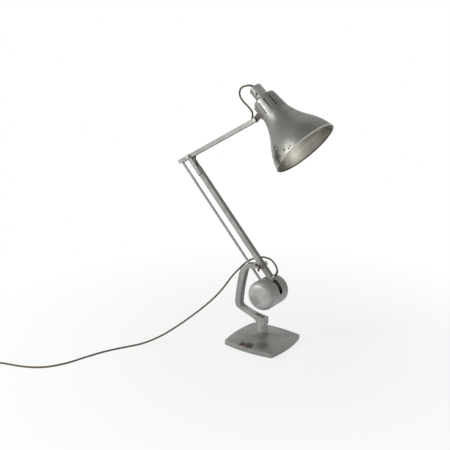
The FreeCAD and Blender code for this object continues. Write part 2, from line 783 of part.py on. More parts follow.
fork = Frame(size.fulcrum_x, size.fulcrum_z, 0)
fork_face = size.cast_half_width
washers_out = fork_face + 2 * size.spring_washer_thick
knob_out = washers_out + size.fulcrum_head_thick
hub_out = fork_face + size.near_washer_thick + size.wing_hub_thick
bolt_near = -hub_out - HEAD_WASHER
bolt = cylinder(size.fulcrum_bolt_radius, knob_out + 1 - bolt_near, (0, bolt_near, 0), "Y")
node(group(bolt), "fulcrum_bolt", fork)


def washer(radius, bore, thick, side_from):
    """A flat ring round the Y axis of its frame."""
    ring = cylinder(radius, thick, (0, side_from, 0), "Y")
    hole = cylinder(bore, thick + 2, (0, dim(side_from) - 1, 0), "Y")
    return cut(ring, hole)


bolt_bore = size.fulcrum_bolt_radius + size.snug_fit
cup_thick = size.spring_washer_thick - size.running_fit
spring_washers = [
    washer(size.spring_washer_radius, bolt_bore, cup_thick, fork_face + size.running_fit / 2),
    washer(
        size.spring_washer_radius,
        bolt_bore,
        cup_thick,
        fork_face + size.spring_washer_thick + size.running_fit / 2,
    ),
]
near_washer = washer(
    size.spring_washer_radius, bolt_bore, size.near_washer_thick, -fork_face - size.near_washer_thick
)
node(group(*spring_washers, near_washer), "fulcrum_washers", fork)

# Ridges of the round nut, and the wings of the wing nut.
RIDGE_COUNT = 14
RIDGE_RADIUS = 0.9
RIDGE_PROUD = 0.7
HUB_FLARE = 0.8
WING_TIP = 3.6
WING_RISE = 4.5
WING_FALL = 3.4
WING_SHARE = 0.66

# The round nut has ridges all round, as a knurled thumb nut has.
knob_core = washer(size.fulcrum_head_radius - RIDGE_PROUD, bolt_bore, size.fulcrum_head_thick, washers_out)
ridges = []
for index in range(RIDGE_COUNT):
    turn = 360 / RIDGE_COUNT * index
    reach = size.fulcrum_head_radius - RIDGE_RADIUS
    across = reach * math.cos(math.radians(turn))
    up = reach * math.sin(math.radians(turn))
    ridges.append(cylinder(RIDGE_RADIUS, size.fulcrum_head_thick, (across, washers_out, up), "Y"))
node(fuse(knob_core, *ridges), "fulcrum_round_nut", fork)

# Wing nut: a tapered hub and two upright wings with round ears.
wing_start = -hub_out
wing_gap = size.running_fit
wing_hub = cone(
    size.wing_hub_radius - HUB_FLARE,
    size.wing_hub_radius + HUB_FLARE / 2,
    size.wing_hub_thick - wing_gap,
    (0, wing_start, 0),
    "Y",
)
wing_parts = [wing_hub]
for side in (-1, 1):
    ear_x = (size.wing_span - WING_TIP) * side
    wing_parts.append(
        cylinder(WING_TIP, size.wing_thick, (ear_x, wing_start - WING_RISE, -size.wing_thick / 2))
    )
    inner = min(0, side)
    wing_parts.append(
        block(
            size.wing_span * WING_SHARE * inner,
            size.wing_span * WING_SHARE * (1 + inner),
            wing_start - WING_RISE,
            wing_start + WING_FALL,
            -size.wing_thick / 2,
            size.wing_thick / 2,
        )
    )
wing_bore = cylinder(
    size.fulcrum_bolt_radius + size.running_fit, THROUGH, (0, wing_start - OVERRUN, 0), "Y"
)
wing_frame = Frame(size.fulcrum_x, size.fulcrum_z, size.wing_turn)
node(cut(fuse(*wing_parts), wing_bore), "wing_nut", wing_frame)

# Fibre washers between the arm's cheeks and the prongs.
fibre_thick = size.gap_half_width - size.arm_half_width - 2 * size.running_fit
fibre_washers = [
    washer(size.spring_washer_radius, bolt_bore, fibre_thick, size.arm_half_width + size.running_fit),
    washer(
        size.spring_washer_radius,
        bolt_bore,
        fibre_thick,
        -size.arm_half_width - size.running_fit - fibre_thick,
    ),
]
node(group(*fibre_washers), "fulcrum_fibre_washers", fork)

# Rivets, bolt ends, the bush and the small screws of the arms.
RIVET_EDGE = 5
EAR_STEP = 2.6
BOLT_TAIL = 1.5
FIBRE_STEP = 1.5
BUSH_FLANGE = 1.4
BUSH_TIP_WALL = 0.9
BUSH_ROOT_WALL = 1.9
SCREW_TAIL = 0.4
CLIP_SCREW_EDGE = 3
CLIP_SCREW_HEAD = 2.9
CLIP_SCREW_TOP = 2.0
CLIP_SCREW_THICK = 1.4
TAIL_HEAD = 3.0
TAIL_TOP = 2.2
TAIL_THICK = 0.8

# Lower arm, drawn in the fulcrum frame: X runs up to the elbow, Z points to the rod.

arm_end = size.arm_length - size.arm_stop
arm_start = -size.weight_reach - size.arm_tip
arm_solid = block(
    arm_start, arm_end, -size.arm_half_width, size.arm_half_width, -size.arm_front, size.arm_back
)
arm_hollow = block(
    arm_start - 1,
    arm_end + 1,
    -size.arm_half_width + size.arm_wall,
    size.arm_half_width - size.arm_wall,
    -size.arm_front + size.arm_wall,
    size.arm_back + OVERRUN,
)


def cross_hole(radius, along, above=0, half=THROUGH):
    """A hole along Y through everything at a point of the frame."""
    return cylinder(radius, 2 * half, (along, -half, above), "Y")


rivet_places = [size.arm_length - size.ear_length + RIVET_EDGE, arm_end - RIVET_EDGE]
ear_rise = (size.arm_back - size.arm_front) / 2
arm_holes = [
    cross_hole(size.fulcrum_bolt_radius + size.running_fit, 0),
    cross_hole(size.weight_pin_radius + size.running_fit, -size.weight_reach),
    cylinder(size.bush_hole_radius + size.snug_fit, OVERRUN, (-size.bush_place, 0, -size.arm_front - 2)),
]
for place in rivet_places:
    arm_holes.append(cross_hole(size.rivet_radius + size.snug_fit, place, ear_rise))
clip_hole_along = size.clip_place + (size.clip_tail - CLIP_SCREW_EDGE) * cosine(size.clip_tilt)
clip_hole_above = ear_rise - (size.clip_tail - CLIP_SCREW_EDGE) * sine(size.clip_tilt)
arm_holes.append(
    cylinder(size.clip_screw_radius + size.snug_fit, THROUGH, (clip_hole_along, 0, clip_hole_above), "Y")
)
lower_channel = cut(cut(arm_solid, arm_hollow), *arm_holes)
node(lower_channel, "lower_arm_channel", fulcrum)


def elbow_ear(side):
    """A flat ear riveted outside the channel's cheek, with a round end at the elbow."""
    near = size.arm_half_width if side > 0 else -size.arm_half_width - size.ear_thick
    far = near + size.ear_thick
    strip = block(
        size.arm_length - size.ear_length,
        size.arm_length,
        near,
        far,
        -size.ear_radius,
        size.ear_radius - EAR_STEP,
    )
    end = cylinder(size.ear_radius, size.ear_thick, (size.arm_length, near, 0), "Y")
    holes = [cross_hole(size.elbow_bolt_radius + size.snug_fit, size.arm_length)]
    for place in rivet_places:
        holes.append(cross_hole(size.rivet_radius + size.snug_fit, place, ear_rise))
    return cut(fuse(strip, end), *holes)


node(elbow_ear(-1), "elbow_ear_near", fulcrum)
node(elbow_ear(1), "elbow_ear_far", fulcrum)


def rivet(place, side):
    """A rivet through ear and cheek: a low dome outside, a flush end inside."""
    outer = size.arm_half_width + size.ear_thick
    inner = size.arm_half_width - size.arm_wall
    if side > 0:
        shank = cylinder(size.rivet_radius, outer - inner, (place, inner, ear_rise), "Y")
        dome = cone(
            size.rivet_head_radius, size.rivet_radius, size.rivet_head_thick, (place, outer, ear_rise), "Y"
        )
    else:
        shank = cylinder(size.rivet_radius, outer - inner, (place, -outer, ear_rise), "Y")
        start = -outer - size.rivet_head_thick
        dome = cone(
            size.rivet_radius, size.rivet_head_radius, size.rivet_head_thick, (place, start, ear_rise), "Y"
        )
    return fuse(shank, dome)


node(group(*[rivet(place, side) for place in rivet_places for side in (-1, 1)]), "elbow_rivets", fulcrum)

# Elbow bolt: hexagon head on the near side, nut on the far side.
ear_out = size.arm_half_width + size.ear_thick
elbow_here = Frame(elbow_x, elbow_z, -size.arm_lean)
elbow_head = prism(
    6, size.bolt_head_radius, size.bolt_head_thick, (0, -ear_out - size.bolt_head_thick, 0), "Y"
)
elbow_shank = cylinder(
    size.elbow_bolt_radius, 2 * ear_out + size.bolt_head_thick + BOLT_TAIL, (0, -ear_out, 0), "Y"
)
node(fuse(elbow_head, elbow_shank), "elbow_bolt", elbow_here)
elbow_nut = cut(
    prism(6, size.bolt_head_radius, size.bolt_head_thick, (0, ear_out, 0), "Y"),
    cross_hole(size.elbow_bolt_radius + size.snug_fit, 0),
)
node(elbow_nut, "elbow_nut", elbow_here)
cheek_gap = size.arm_half_width - size.upper_half_width
elbow_fibres = [
    washer(
        size.ear_radius - FIBRE_STEP,
        size.elbow_bolt_radius + size.snug_fit,
        cheek_gap - 2 * size.running_fit,
        start,
    )
    for start in (size.upper_half_width + size.running_fit, -size.arm_half_width + size.running_fit)
]
node(group(*elbow_fibres), "elbow_washers", elbow_here)

# Cord bush in the web: a flange inside the channel, a tapered sleeve outside.
bush_at = Frame(*fulcrum.point(-size.bush_place, -size.arm_front), -size.arm_lean)
cord_hole = cord_radius + size.cord_gap
bush_parts = [
    cylinder(size.bush_hole_radius, size.arm_wall, (0, 0, 0)),
    cylinder(size.bush_flange_radius, BUSH_FLANGE, (0, 0, -BUSH_FLANGE)),
    cone(
        cord_radius + BUSH_TIP_WALL,
        cord_radius + BUSH_ROOT_WALL,
        size.bush_length - 1,
        (0, 0, -size.bush_length),
    ),
]
bush_bore = cylinder(cord_hole, size.bush_length + 2 * OVERRUN, (0, 0, -size.bush_length - 2))
bush = cut(fuse(*bush_parts), bush_bore)
node(bush, "cord_bush", bush_at)

# Cord clip on the far cheek: a strip bent round the cord, with one screw.
clip_at = Frame(*fulcrum.point(size.clip_place, ear_rise), -size.arm_lean + size.clip_tilt)
clip_centre = size.arm_half_width + size.clip_wall + cord_hole
clip_ring_radius = cord_hole + size.clip_wall
clip_low = -size.clip_width / 2
clip_ring = cut(
    fuse(
        cylinder(clip_ring_radius, size.clip_width, (0, clip_centre, clip_low)),
        block(
            0,
            size.clip_tail,
            size.arm_half_width,
            size.arm_half_width + size.clip_wall,
            clip_low,
            -clip_low,
        ),
    ),
    cylinder(cord_hole, size.clip_width + 2, (0, clip_centre, clip_low - 1)),
    cross_hole(size.clip_screw_radius + size.snug_fit, size.clip_tail - 3),
)
node(clip_ring, "cord_clip", clip_at)
clip_screw_start = size.arm_half_width - size.arm_wall - SCREW_TAIL
clip_screw = fuse(
    cylinder(
        size.clip_screw_radius,
        size.arm_wall + size.clip_wall + SCREW_TAIL,
        (size.clip_tail - 3, clip_screw_start, 0),
        "Y",
    ),
    cone(
            CLIP_SCREW_HEAD,
            CLIP_SCREW_TOP,
            CLIP_SCREW_THICK,
            (size.clip_tail - CLIP_SCREW_EDGE, size.arm_half_width + size.clip_wall, 0),
            "Y",
        ),
)
node(clip_screw, "cord_clip_screw", clip_at)

# Upper arm, drawn in the elbow frame: X runs out to the head, Z is up.

upper_start = -size.tail_length - size.tail_tip
web_under = size.upper_top - size.upper_wall
inner_half = size.upper_half_width - size.upper_wall
upper_solid = fuse(
    block(
        upper_start,
        size.upper_length,
        -size.upper_half_width,
        size.upper_half_width,
        -size.upper_bottom,
        size.upper_top,
    ),
    cylinder(
        size.cheek_radius, 2 * size.upper_half_width, (size.upper_length, -size.upper_half_width, 0), "Y"
    ),
)
upper_hollow = block(upper_start - 1, size.upper_length + 20, -inner_half, inner_half, -20, web_under)
web_cut = block(
    size.upper_length - size.web_stop, size.upper_length + 20, -inner_half, inner_half, web_under - 1, 20
)
upper_holes = [
    cross_hole(size.elbow_bolt_radius + size.running_fit, 0),
    cross_hole(size.tail_pin_radius + size.snug_fit, -size.tail_length),
    cross_hole(size.head_bolt_radius + size.snug_fit, size.upper_length),
]
node(cut(upper_solid, upper_hollow, web_cut, *upper_holes), "upper_arm_channel", elbow)
tail_pin = fuse(
    cylinder(size.tail_pin_radius, 2 * size.upper_half_width, (0, -size.upper_half_width, 0), "Y"),
    cone(TAIL_TOP, TAIL_HEAD, TAIL_THICK, (0, -size.upper_half_width - TAIL_THICK, 0), "Y"),
    cone(TAIL_HEAD, TAIL_TOP, TAIL_THICK, (0, size.upper_half_width, 0), "Y"),
)
node(tail_pin, "rod_tail_pin", Frame(tail_x, tail_z, -size.upper_lean))

# Parallel rod, drawn in the tail frame: X runs down to the weight. Its ends are flattened eyes.

rod_body = cylinder(size.rod_radius, rod_length - size.rod_foot_radius, (3, 0, 0), "X")
eye = cylinder(size.rod_eye_radius, 2 * size.rod_half_thick, (0, -size.rod_half_thick, 0), "Y")
foot = cylinder(size.rod_foot_radius, 2 * size.rod_half_thick, (rod_length, -size.rod_half_thick, 0), "Y")
rod = cut(
    fuse(rod_body, eye, foot),
    cross_hole(size.tail_pin_radius + size.running_fit, 0),
    cross_hole(size.weight_pin_radius + size.open_pivot_gap, rod_length),
)
node(rod, "parallel_rod", tail)

# Clamp screws and pins of the counterweight.
PIN_SPARE = 0.4
SLOT_HALF_LONG = 5
SLOT_HALF_WIDE = 0.5
SLOT_DEEP = 1.6
HEAD_SUNK = 0.6

# Counterweight: two cast halves bolted together, with a slot for arm and rod between them.


def weight_half(side):
    """Half a rounded drum, from the seam to its end; side is -1 near and +1 far."""
    half = casting()
    profile = sketch(half, "XY")
    flat = size.weight_radius - size.weight_round
    shoulder = size.weight_half_length - size.weight_round
    outline(
        profile,
        [
            (0, 0),
            (size.weight_radius, 0),
            (size.weight_radius, shoulder * side, size.weight_round * side),
            (flat, size.weight_half_length * side),
            (0, size.weight_half_length * side),
        ],
    )
    spin(half, profile, "V_Axis")
    slot = sketch(half, "XZ")
    reach = size.weight_radius + 5
    far = size.weight_radius * 3
    first = (cosine(size.slot_first), sine(size.slot_first))
    last = (cosine(size.slot_last), sine(size.slot_last))
    top = (size.slot_first + size.slot_last) / 2
    outline(
        slot,
        [
            (reach * first[0], reach * first[1]),
            (far * first[0], far * first[1]),
            (far * cosine(top) * 2, far * sine(top) * 2),
            (far * last[0], far * last[1]),
            (reach * last[0], reach * last[1]),
        ],
    )
    pocket(half, slot, size.slot_half_width * 2, both_ways=True)
    hub = sketch(half, "XZ")
    disc(hub, size.slot_hub_radius)
    pocket(half, hub, size.slot_half_width * 2, both_ways=True)
    pins = sketch(half, "XZ")
    disc(pins, size.weight_pin_radius + size.snug_fit)
    disc(pins, size.weight_pin_radius + size.snug_fit, size.tail_length, 0)
    pocket(half, pins, size.weight_pin_half * 2 + PIN_SPARE, both_ways=True)
    clamps = sketch(half, "XZ")
    for x, z in CLAMP_PLACES:
        disc(clamps, size.clamp_radius + size.snug_fit, x, z)
    pocket(half, clamps, CLAMP_DEPTH[side] * 2, both_ways=True)
    return half


# Clamping screws come in from the far end, below the slot.
CLAMP_PLACES = [(9, -17), (-11, -16)]
CLAMP_DEPTH = {-1: size.clamp_bite + 1, 1: size.weight_half_length + 1}
node(weight_half(-1), "weight_half_near", weight)
sink = size.weight_half_length - size.clamp_head_thick
sinks = [
    cylinder(size.clamp_head_radius + size.snug_fit, size.clamp_head_thick + OVERRUN, (x, sink, z), "Y")
    for x, z in CLAMP_PLACES
]
node(cut(weight_half(1), *sinks), "weight_half_far", weight)
clamps = []
for x, z in CLAMP_PLACES:
    shank = cylinder(
        size.clamp_radius, size.weight_half_length + size.clamp_bite - 1, (x, -size.clamp_bite, z), "Y"
    )
    slot_x = block(
        x - SLOT_HALF_LONG,
        x + SLOT_HALF_LONG,
        size.weight_half_length - SLOT_DEEP,
        size.weight_half_length,
        z - SLOT_HALF_WIDE,
        z + SLOT_HALF_WIDE,
    )
    screw_head = cylinder(size.clamp_head_radius, size.clamp_head_thick - HEAD_SUNK, (x, sink, z), "Y")
    clamps.append(cut(fuse(shank, screw_head), slot_x))
node(group(*clamps), "weight_clamp_screws", weight)
pin_length = 2 * size.weight_pin_half
rod_pin = cylinder(size.weight_pin_radius, pin_length, (0, -size.weight_pin_half, 0), "Y")
node(group(rod_pin), "weight_rod_pin", weight)
node(
    group(cylinder(size.weight_pin_radius, pin_length, (size.tail_length, -size.weight_pin_half, 0), "Y")),
    "weight_arm_pin",
    weight,
)

# Shade, drawn in the mouth frame: X points out of the mouth, so depths are minus X.


def shade_wall_points(inset):
    """Points of the shade's section from mouth to top, moved in by the sheet's thickness."""
    return [
        (0, size.mouth_radius - inset),
        (-size.bell_depth, size.bell_radius - inset),
        (-size.flare_depth, size.flare_radius - inset),
        (-size.neck_depth, size.neck_radius - inset),
        (-size.shade_depth + inset, size.top_radius),
    ]


shade = casting()
wall = sketch(shade, "XZ")
out = shade_wall_points(dim(0))
into = shade_wall_points(size.shade_wall)
top_hole = size.holder_hole_radius
outline(
    wall,
    [
        (*out[0], size.bell_bend),
        (*out[1], -size.flare_bend),
        out[2],
        (*out[3], 7),
        (-size.shade_depth, size.top_radius),
        (-size.shade_depth, top_hole),
        (-size.shade_depth + size.shade_wall, top_hole),
        (*into[4], -6.1),
        into[3],
        (*into[2], size.flare_bend + size.shade_wall),
        (*into[1], -size.bell_bend + size.shade_wall),
        into[0],
    ],
)
spin(shade, wall, "H_Axis")


def turned(thing, angle):
    """A piece turned about the frame's X axis; 90 degrees takes its top to the -Y side."""
    angle = dim(angle)
    holder = group(thing)
    holder.Placement = FreeCAD.Placement(Vector(), FreeCAD.Rotation(Vector(1, 0, 0), angle.number))
    bind(holder, "Placement.Rotation.Angle", angle)
    return holder


half_vent = size.vent_width / 2
vents = []
for side in (1, -1):
    for index in range(int(size.vent_count.number)):
        cutter = fuse(
            block(-size.vent_end, size.vent_length - size.vent_end, -half_vent, half_vent, 20, 45),
            cylinder(half_vent, 25, (-size.vent_end, 0, 20)),
            cylinder(half_vent, 25, (size.vent_length - size.vent_end, 0, 20)),
        )
        vents.append(turned(cutter, (size.vent_phase + size.vent_pitch * index) * side))
bead = ring_bar(size.mouth_radius - size.bead_radius / 2, size.bead_radius, (0, 0, 0), "X")
pivot_x = -size.mouth_reach
screw_hole = size.lug_screw_radius + size.snug_fit
lug_screw_x = [pivot_x - size.lug_screw_spread, pivot_x + size.lug_screw_spread]
shade_screw_holes = [cylinder(screw_hole, THROUGH, (x, 0, -size.flare_radius - 5)) for x in lug_screw_x]
node(cut(fuse(shade, bead), *vents, *shade_screw_holes), "shade", mouth)

# Screws and nuts of the saddle, and the chamfer of the disc.
SEAT_GAP = 0.3
NUT_GAP = 0.5
SCREW_END = 3.4
SCREW_HEAD = 3.4
SCREW_TOP = 2.4
SCREW_HEAD_THICK = 1.8
NUT_RADIUS = 3.6
NUT_THICK = 2.4
NUT_EXTRA = 0.6
DISC_CHAMFER = 1.2
CHAMFER_SHARE = 0.45

# Head lug: an eye between the upper arm's cheeks, a rib, and a saddle screwed to the neck.

neck_slope = (size.flare_radius - size.neck_radius) / (size.neck_depth - size.flare_depth)


def neck_at(depth):
    """Radius of the neck at a depth from the mouth."""
    return size.neck_radius + neck_slope * (size.neck_depth - depth)


half_saddle = size.saddle_length / 2
saddle_low = size.mouth_reach + half_saddle
saddle_high = size.mouth_reach - half_saddle
seat = 0.1
saddle_shell = cut(
    cone(
        neck_at(saddle_low) + size.saddle_thick,
        neck_at(saddle_high) + size.saddle_thick,
        size.saddle_length,
        (-saddle_low, 0, 0),
        "X",
    ),
    cone(
        neck_at(saddle_low + OVERRUN) + seat,
        neck_at(saddle_high - OVERRUN) + seat,
        size.saddle_length + 2 * OVERRUN,
        (-saddle_low - OVERRUN, 0, 0),
        "X",
    ),
)
saddle_window = block(
    -saddle_low - 1, -saddle_high + 1, -size.saddle_half_width, size.saddle_half_width, -60, 0
)
saddle = common(saddle_shell, saddle_window)
rib = block(
    pivot_x - size.lug_eye_radius,
    pivot_x + size.lug_eye_radius,
    -size.lug_half_thick,
    size.lug_half_thick,
    -size.axis_offset,
    -neck_at(size.mouth_reach) - size.saddle_thick / 2,
)
lug_eye = cylinder(
    size.lug_eye_radius, 2 * size.lug_half_thick, (pivot_x, -size.lug_half_thick, -size.axis_offset), "Y"
)
lug_bore = cylinder(
    size.head_bolt_radius + size.running_fit, 2 * THROUGH, (pivot_x, -THROUGH, -size.axis_offset), "Y"
)
lug_screw_holes = [cylinder(screw_hole, THROUGH, (x, 0, -size.flare_radius - 8)) for x in lug_screw_x]
node(cut(fuse(saddle, rib, lug_eye), lug_bore, *lug_screw_holes), "head_lug", mouth)

lug_screws = []
lug_nuts = []
for x in lug_screw_x:
    seat_z = -neck_at(-x) - size.saddle_thick - SEAT_GAP
    inside_z = -neck_at(-x) + size.shade_wall + NUT_GAP
    shank = cylinder(size.lug_screw_radius, inside_z + SCREW_END - seat_z, (x, 0, seat_z))
    screw_head = cone(SCREW_TOP, SCREW_HEAD, SCREW_HEAD_THICK, (x, 0, seat_z - SCREW_HEAD_THICK))
    lug_screws.append(fuse(shank, screw_head))
    nut = prism(6, NUT_RADIUS, NUT_THICK, (x, 0, inside_z))
    lug_nuts.append(cut(nut, cylinder(screw_hole, THROUGH, (x, 0, inside_z - 3))))
node(group(*lug_screws), "lug_screws", mouth)
node(group(*lug_nuts), "lug_nuts", mouth)

# Head pivot: a domed disc bolt on the near side, a nut on the far side, fibre washers between.

head_here = Frame(head_x, head_z, -size.upper_lean)
cheek_out = size.upper_half_width
disc_start = -cheek_out - size.disc_thick
disc_chamfer = size.disc_thick * CHAMFER_SHARE
head_bolt = fuse(
    cone(size.disc_radius - DISC_CHAMFER, size.disc_radius, disc_chamfer, (0, disc_start, 0), "Y"),
    cylinder(size.disc_radius, size.disc_thick - disc_chamfer, (0, disc_start + disc_chamfer, 0), "Y"),
    cylinder(size.head_bolt_radius, 2 * cheek_out + size.bolt_head_thick + 1, (0, -cheek_out, 0), "Y"),
)
node(head_bolt, "head_pivot_bolt", head_here)
head_nut = cut(
    prism(6, size.bolt_head_radius + NUT_EXTRA, size.bolt_head_thick, (0, cheek_out, 0), "Y"),
    cross_hole(size.head_bolt_radius + size.snug_fit, 0),
)
node(head_nut, "head_pivot_nut", head_here)
lug_gap = inner_half - size.lug_half_thick - 2 * size.running_fit
lug_washers = [
    washer(size.lug_eye_radius - 1, size.head_bolt_radius + size.snug_fit, lug_gap, start)
    for start in (size.lug_half_thick + size.running_fit, -inner_half + size.running_fit)
]
node(group(*lug_washers), "head_pivot_washers", head_here)

# Chamfers, slots and gaps of the lampholder.
CAP_CHAMFER = 2.5
BAR_PLAY = 0.2
GLAND_SHARE = 0.45
GLAND_TAPER = 1.8
GLAND_STEP = 0.6
PIN_SLOT_LONG = 12
PIN_SLOT_HALF = 1.3
BLOCK_GAP = 0.8
PLUNGER_PLACES = (-4.5, 4.5)
CONTACT_GAP = 0.3
CAP_PIN_RADIUS = 1.0
CAP_PIN_PROUD = 1.7
CAP_PIN_PLACE = 9

# Lampholder, in the mouth frame: a cap above the shade, a barrel through its top, a ring that
# clamps it, an insulating block with two plungers, and a push bar across the cap.

top = -size.shade_depth
cap_end = top - size.cap_length
cap_shell = cut(
    fuse(
        cylinder(size.cap_radius, size.cap_length - CAP_CHAMFER, (cap_end + CAP_CHAMFER - 0.1, 0, 0), "X"),
        cone(size.cap_radius - CAP_CHAMFER + 0.3, size.cap_radius, CAP_CHAMFER, (cap_end, 0, 0), "X"),
    ),
    cylinder(
        size.cap_radius - size.cap_wall, size.cap_length - size.cap_wall, (cap_end + size.cap_wall, 0, 0), "X"
    ),
    cylinder(cord_hole, 2 * OVERRUN, (cap_end - OVERRUN, 0, 0), "X"),
    block(
        -size.bar_place - size.bar_half - BAR_PLAY,
        -size.bar_place + size.bar_half + BAR_PLAY,
        -2 * THROUGH,
        2 * THROUGH,
        -size.bar_half - BAR_PLAY,
        size.bar_half + BAR_PLAY,
    ),
)
node(cap_shell, "lampholder_cap", mouth)
gland = cut(
    fuse(
        cylinder(
            size.gland_radius,
            size.gland_length * GLAND_SHARE,
            (cap_end - size.gland_length * GLAND_SHARE, 0, 0),
            "X",
        ),
        cone(
            size.gland_radius - GLAND_TAPER,
            size.gland_radius - GLAND_STEP,
            size.gland_length * (1 - GLAND_SHARE),
            (cap_end - size.gland_length, 0, 0),
            "X",
        ),
    ),
    cylinder(cord_hole, THROUGH, (cap_end - 3 * OVERRUN, 0, 0), "X"),
)
node(gland, "cord_gland", mouth)

barrel_low = top + size.holder_length
barrel_high = top - size.holder_stub
barrel = cut(
    cylinder(size.holder_radius, size.holder_length + size.holder_stub, (barrel_high, 0, 0), "X"),
    cylinder(size.holder_bore, size.holder_length + THROUGH, (barrel_high - 2, 0, 0), "X"),
    block(barrel_low - PIN_SLOT_LONG, barrel_low + 1, -THROUGH, THROUGH, -PIN_SLOT_HALF, PIN_SLOT_HALF),
)
node(barrel, "lampholder_barrel", mouth)
skirt_seat = top + size.shade_wall
skirt = cut(
    cylinder(size.skirt_radius, size.skirt_thick, (skirt_seat, 0, 0), "X"),
    cylinder(size.holder_radius + size.snug_fit, size.skirt_thick + 4, (skirt_seat - 2, 0, 0), "X"),
)
node(skirt, "lampholder_ring", mouth)
block_start = -size.bar_place + size.bar_half + BLOCK_GAP
contact_block = cut(
    cylinder(size.holder_bore - size.snug_fit, size.block_length, (block_start, 0, 0), "X"),
    *[
        cylinder(size.plunger_radius + size.snug_fit, THROUGH, (block_start - OVERRUN, y, 0), "X")
        for y in PLUNGER_PLACES
    ],
)
node(contact_block, "contact_block", mouth)
plunger_start = block_start + 1
plungers = [
    cylinder(size.plunger_radius, size.plunger_length, (plunger_start, y, 0), "X") for y in PLUNGER_PLACES
]
node(group(*plungers), "contact_plungers", mouth)
bar_long = 2 * size.cap_radius + 2 * size.bar_out - size.bar_travel
bar_start = -size.cap_radius - size.bar_out
bar_low = -size.bar_half
switch_bar = block(
    -size.bar_place - size.bar_half,
    -size.bar_place + size.bar_half,
    bar_start,
    bar_start + bar_long,
    bar_low,
    size.bar_half,
)
node(group(switch_bar), "switch_push_bar", mouth)

# Bulb: a bayonet cap with two side pins and a pear-shaped glass.

bulb_top = plunger_start + size.plunger_length + CONTACT_GAP
bulb_low = bulb_top + size.bulb_cap_length
cap_pin_reach = size.bulb_cap_radius + CAP_PIN_PROUD
bulb_cap = fuse(
    cylinder(size.bulb_cap_radius, size.bulb_cap_length, (bulb_top, 0, 0), "X"),
    cylinder(CAP_PIN_RADIUS, 2 * cap_pin_reach, (bulb_top + CAP_PIN_PLACE, -cap_pin_reach, 0), "Y"),
)
node(bulb_cap, "bulb_cap", mouth)
glass_centre = bulb_top + size.bulb_length - size.bulb_radius


def pear(skin):
    """The bulb's outline spun round its axis, drawn in by the skin's thickness."""
    glass = casting()
    drawing = sketch(glass, "XZ")
    ball_radius = size.bulb_radius - skin
    neck_radius = size.bulb_neck_radius - skin
    outline(
        drawing,
        [
            (bulb_low + CONTACT_GAP - skin, 0),
            (glass_centre + ball_radius, 0, ball_radius),
            (glass_centre, ball_radius, ball_radius),
            (glass_centre - size.bulb_radius * 0.8, ball_radius - size.bulb_radius * 0.4, -40),
            (bulb_low + CONTACT_GAP - skin, neck_radius),
        ],
    )
    spin(glass, drawing, "H_Axis")
    return glass


node(cut(pear(dim(0)), pear(size.glass_wall)), "bulb_glass", mouth)

# Flex. Each stretch is a tube along straight runs joined by tangent arcs.

table = Frame(0, 0, 0)
head_stand = Frame(head_x, head_z, 0)
floor = cord_radius + 0.1
ARC_SHARE = 0.45


def swept(label, path):
    """A round tube along a path, with its volume checked against section times length."""
    start = path.Edges[0].valueAt(path.Edges[0].FirstParameter)
    tangent = path.Edges[0].tangentAt(path.Edges[0].FirstParameter)
    section = Part.Wire([Part.Circle(start, tangent, cord_radius.number).toShape()])
    shell = Part.BRepOffsetAPI.MakePipeShell(path)
    shell.add(section)
    shell.build()
    shell.makeSolid()
    thing = document.addObject("Part::Feature", fresh("flex"))
    thing.Shape = shell.shape()
    filled = math.pi * cord_radius.number ** 2 * path.Length
    print(label, "length", round(path.Length, 1), "volume share", round(thing.Shape.Volume / filled, 4))
    node(thing, label)


def flex(label, stations):
    """A stretch of flex through stations, each a frame with a place along, beside and above."""
    corners = [frame.numbers(along, side, above) for frame, along, side, above in stations]
    edges = []
    radii = []
    last = corners[0]
    for before, corner, after in zip(corners, corners[1:], corners[2:]):
        back = before - corner
        ahead = after - corner
        half_turn = (math.pi - back.getAngle(ahead)) / 2
        reach = ARC_SHARE * min(back.Length, ahead.Length)
        radius = reach / math.tan(half_turn)
        inward = (back.normalize() + ahead.normalize()).normalize()
        start = corner + back * reach
        end = corner + ahead * reach
        middle = corner + inward * (radius / math.cos(half_turn) - radius)
        edges.append(Part.LineSegment(last, start).toShape())
        edges.append(Part.Arc(start, middle, end).toShape())
        radii.append(round(radius, 1))
        last = end
    edges.append(Part.LineSegment(last, corners[-1]).toShape())
    print(label, "arc radii", radii)
    swept(label, Part.Wire(edges))


drop = -size.inner_cord_drop
rise = size.upper_cord_rise
flex(
    "main_cord_loop",
    [
        (fulcrum, -size.bush_place, 0, -size.arm_front),
        (fulcrum, -size.bush_place, 0, -35),
        (fulcrum, -5, 9, -34),
        (clip_at, 0, clip_centre, -14),
        (clip_at, 0, clip_centre, 4),
    ],
)
flex(
    "main_cord",
    [
        (clip_at, 0, clip_centre, 4),
        (clip_at, 0, clip_centre, 19),
        (fork, -51, 7, 0.5),
        (fork, -66, -15, -18.5),
        (fork, -81, -33, -43.5),
        (fork, -96, -48, -73.5),
        (table, -124, -69, 120),
        (table, -157, -101, 84),
        (table, -190, -134, 52),
        (table, -226, -170, 22),
        (table, -263, -206, floor),
        (table, -291, -254, floor),
        (table, -317, -303, floor),
        (table, -334, -358, floor),
        (table, -348, -412, floor),
        (table, -378, -462, floor),
        (table, -430, -491, floor),
        (table, -488, -505, floor),
        (table, size.coil_x + 38, size.coil_y + size.coil_radius, floor),
        (table, size.coil_x + size.cord_diameter, size.coil_y + size.coil_radius, floor),
    ],
)
flex(
    "lower_inner_cord",
    [
        (fulcrum, -size.bush_place, 0, -size.arm_front),
        (fulcrum, -size.bush_place, 0, 6),
        (fulcrum, -14, 0, drop),
        (fulcrum, arm_end, 0, drop),
    ],
)
flex(
    "elbow_cord",
    [
        (fulcrum, arm_end, 0, drop),
        (fulcrum, size.arm_length, 0, drop),
        (elbow, size.arm_stop + 6, 0, rise),
    ],
)
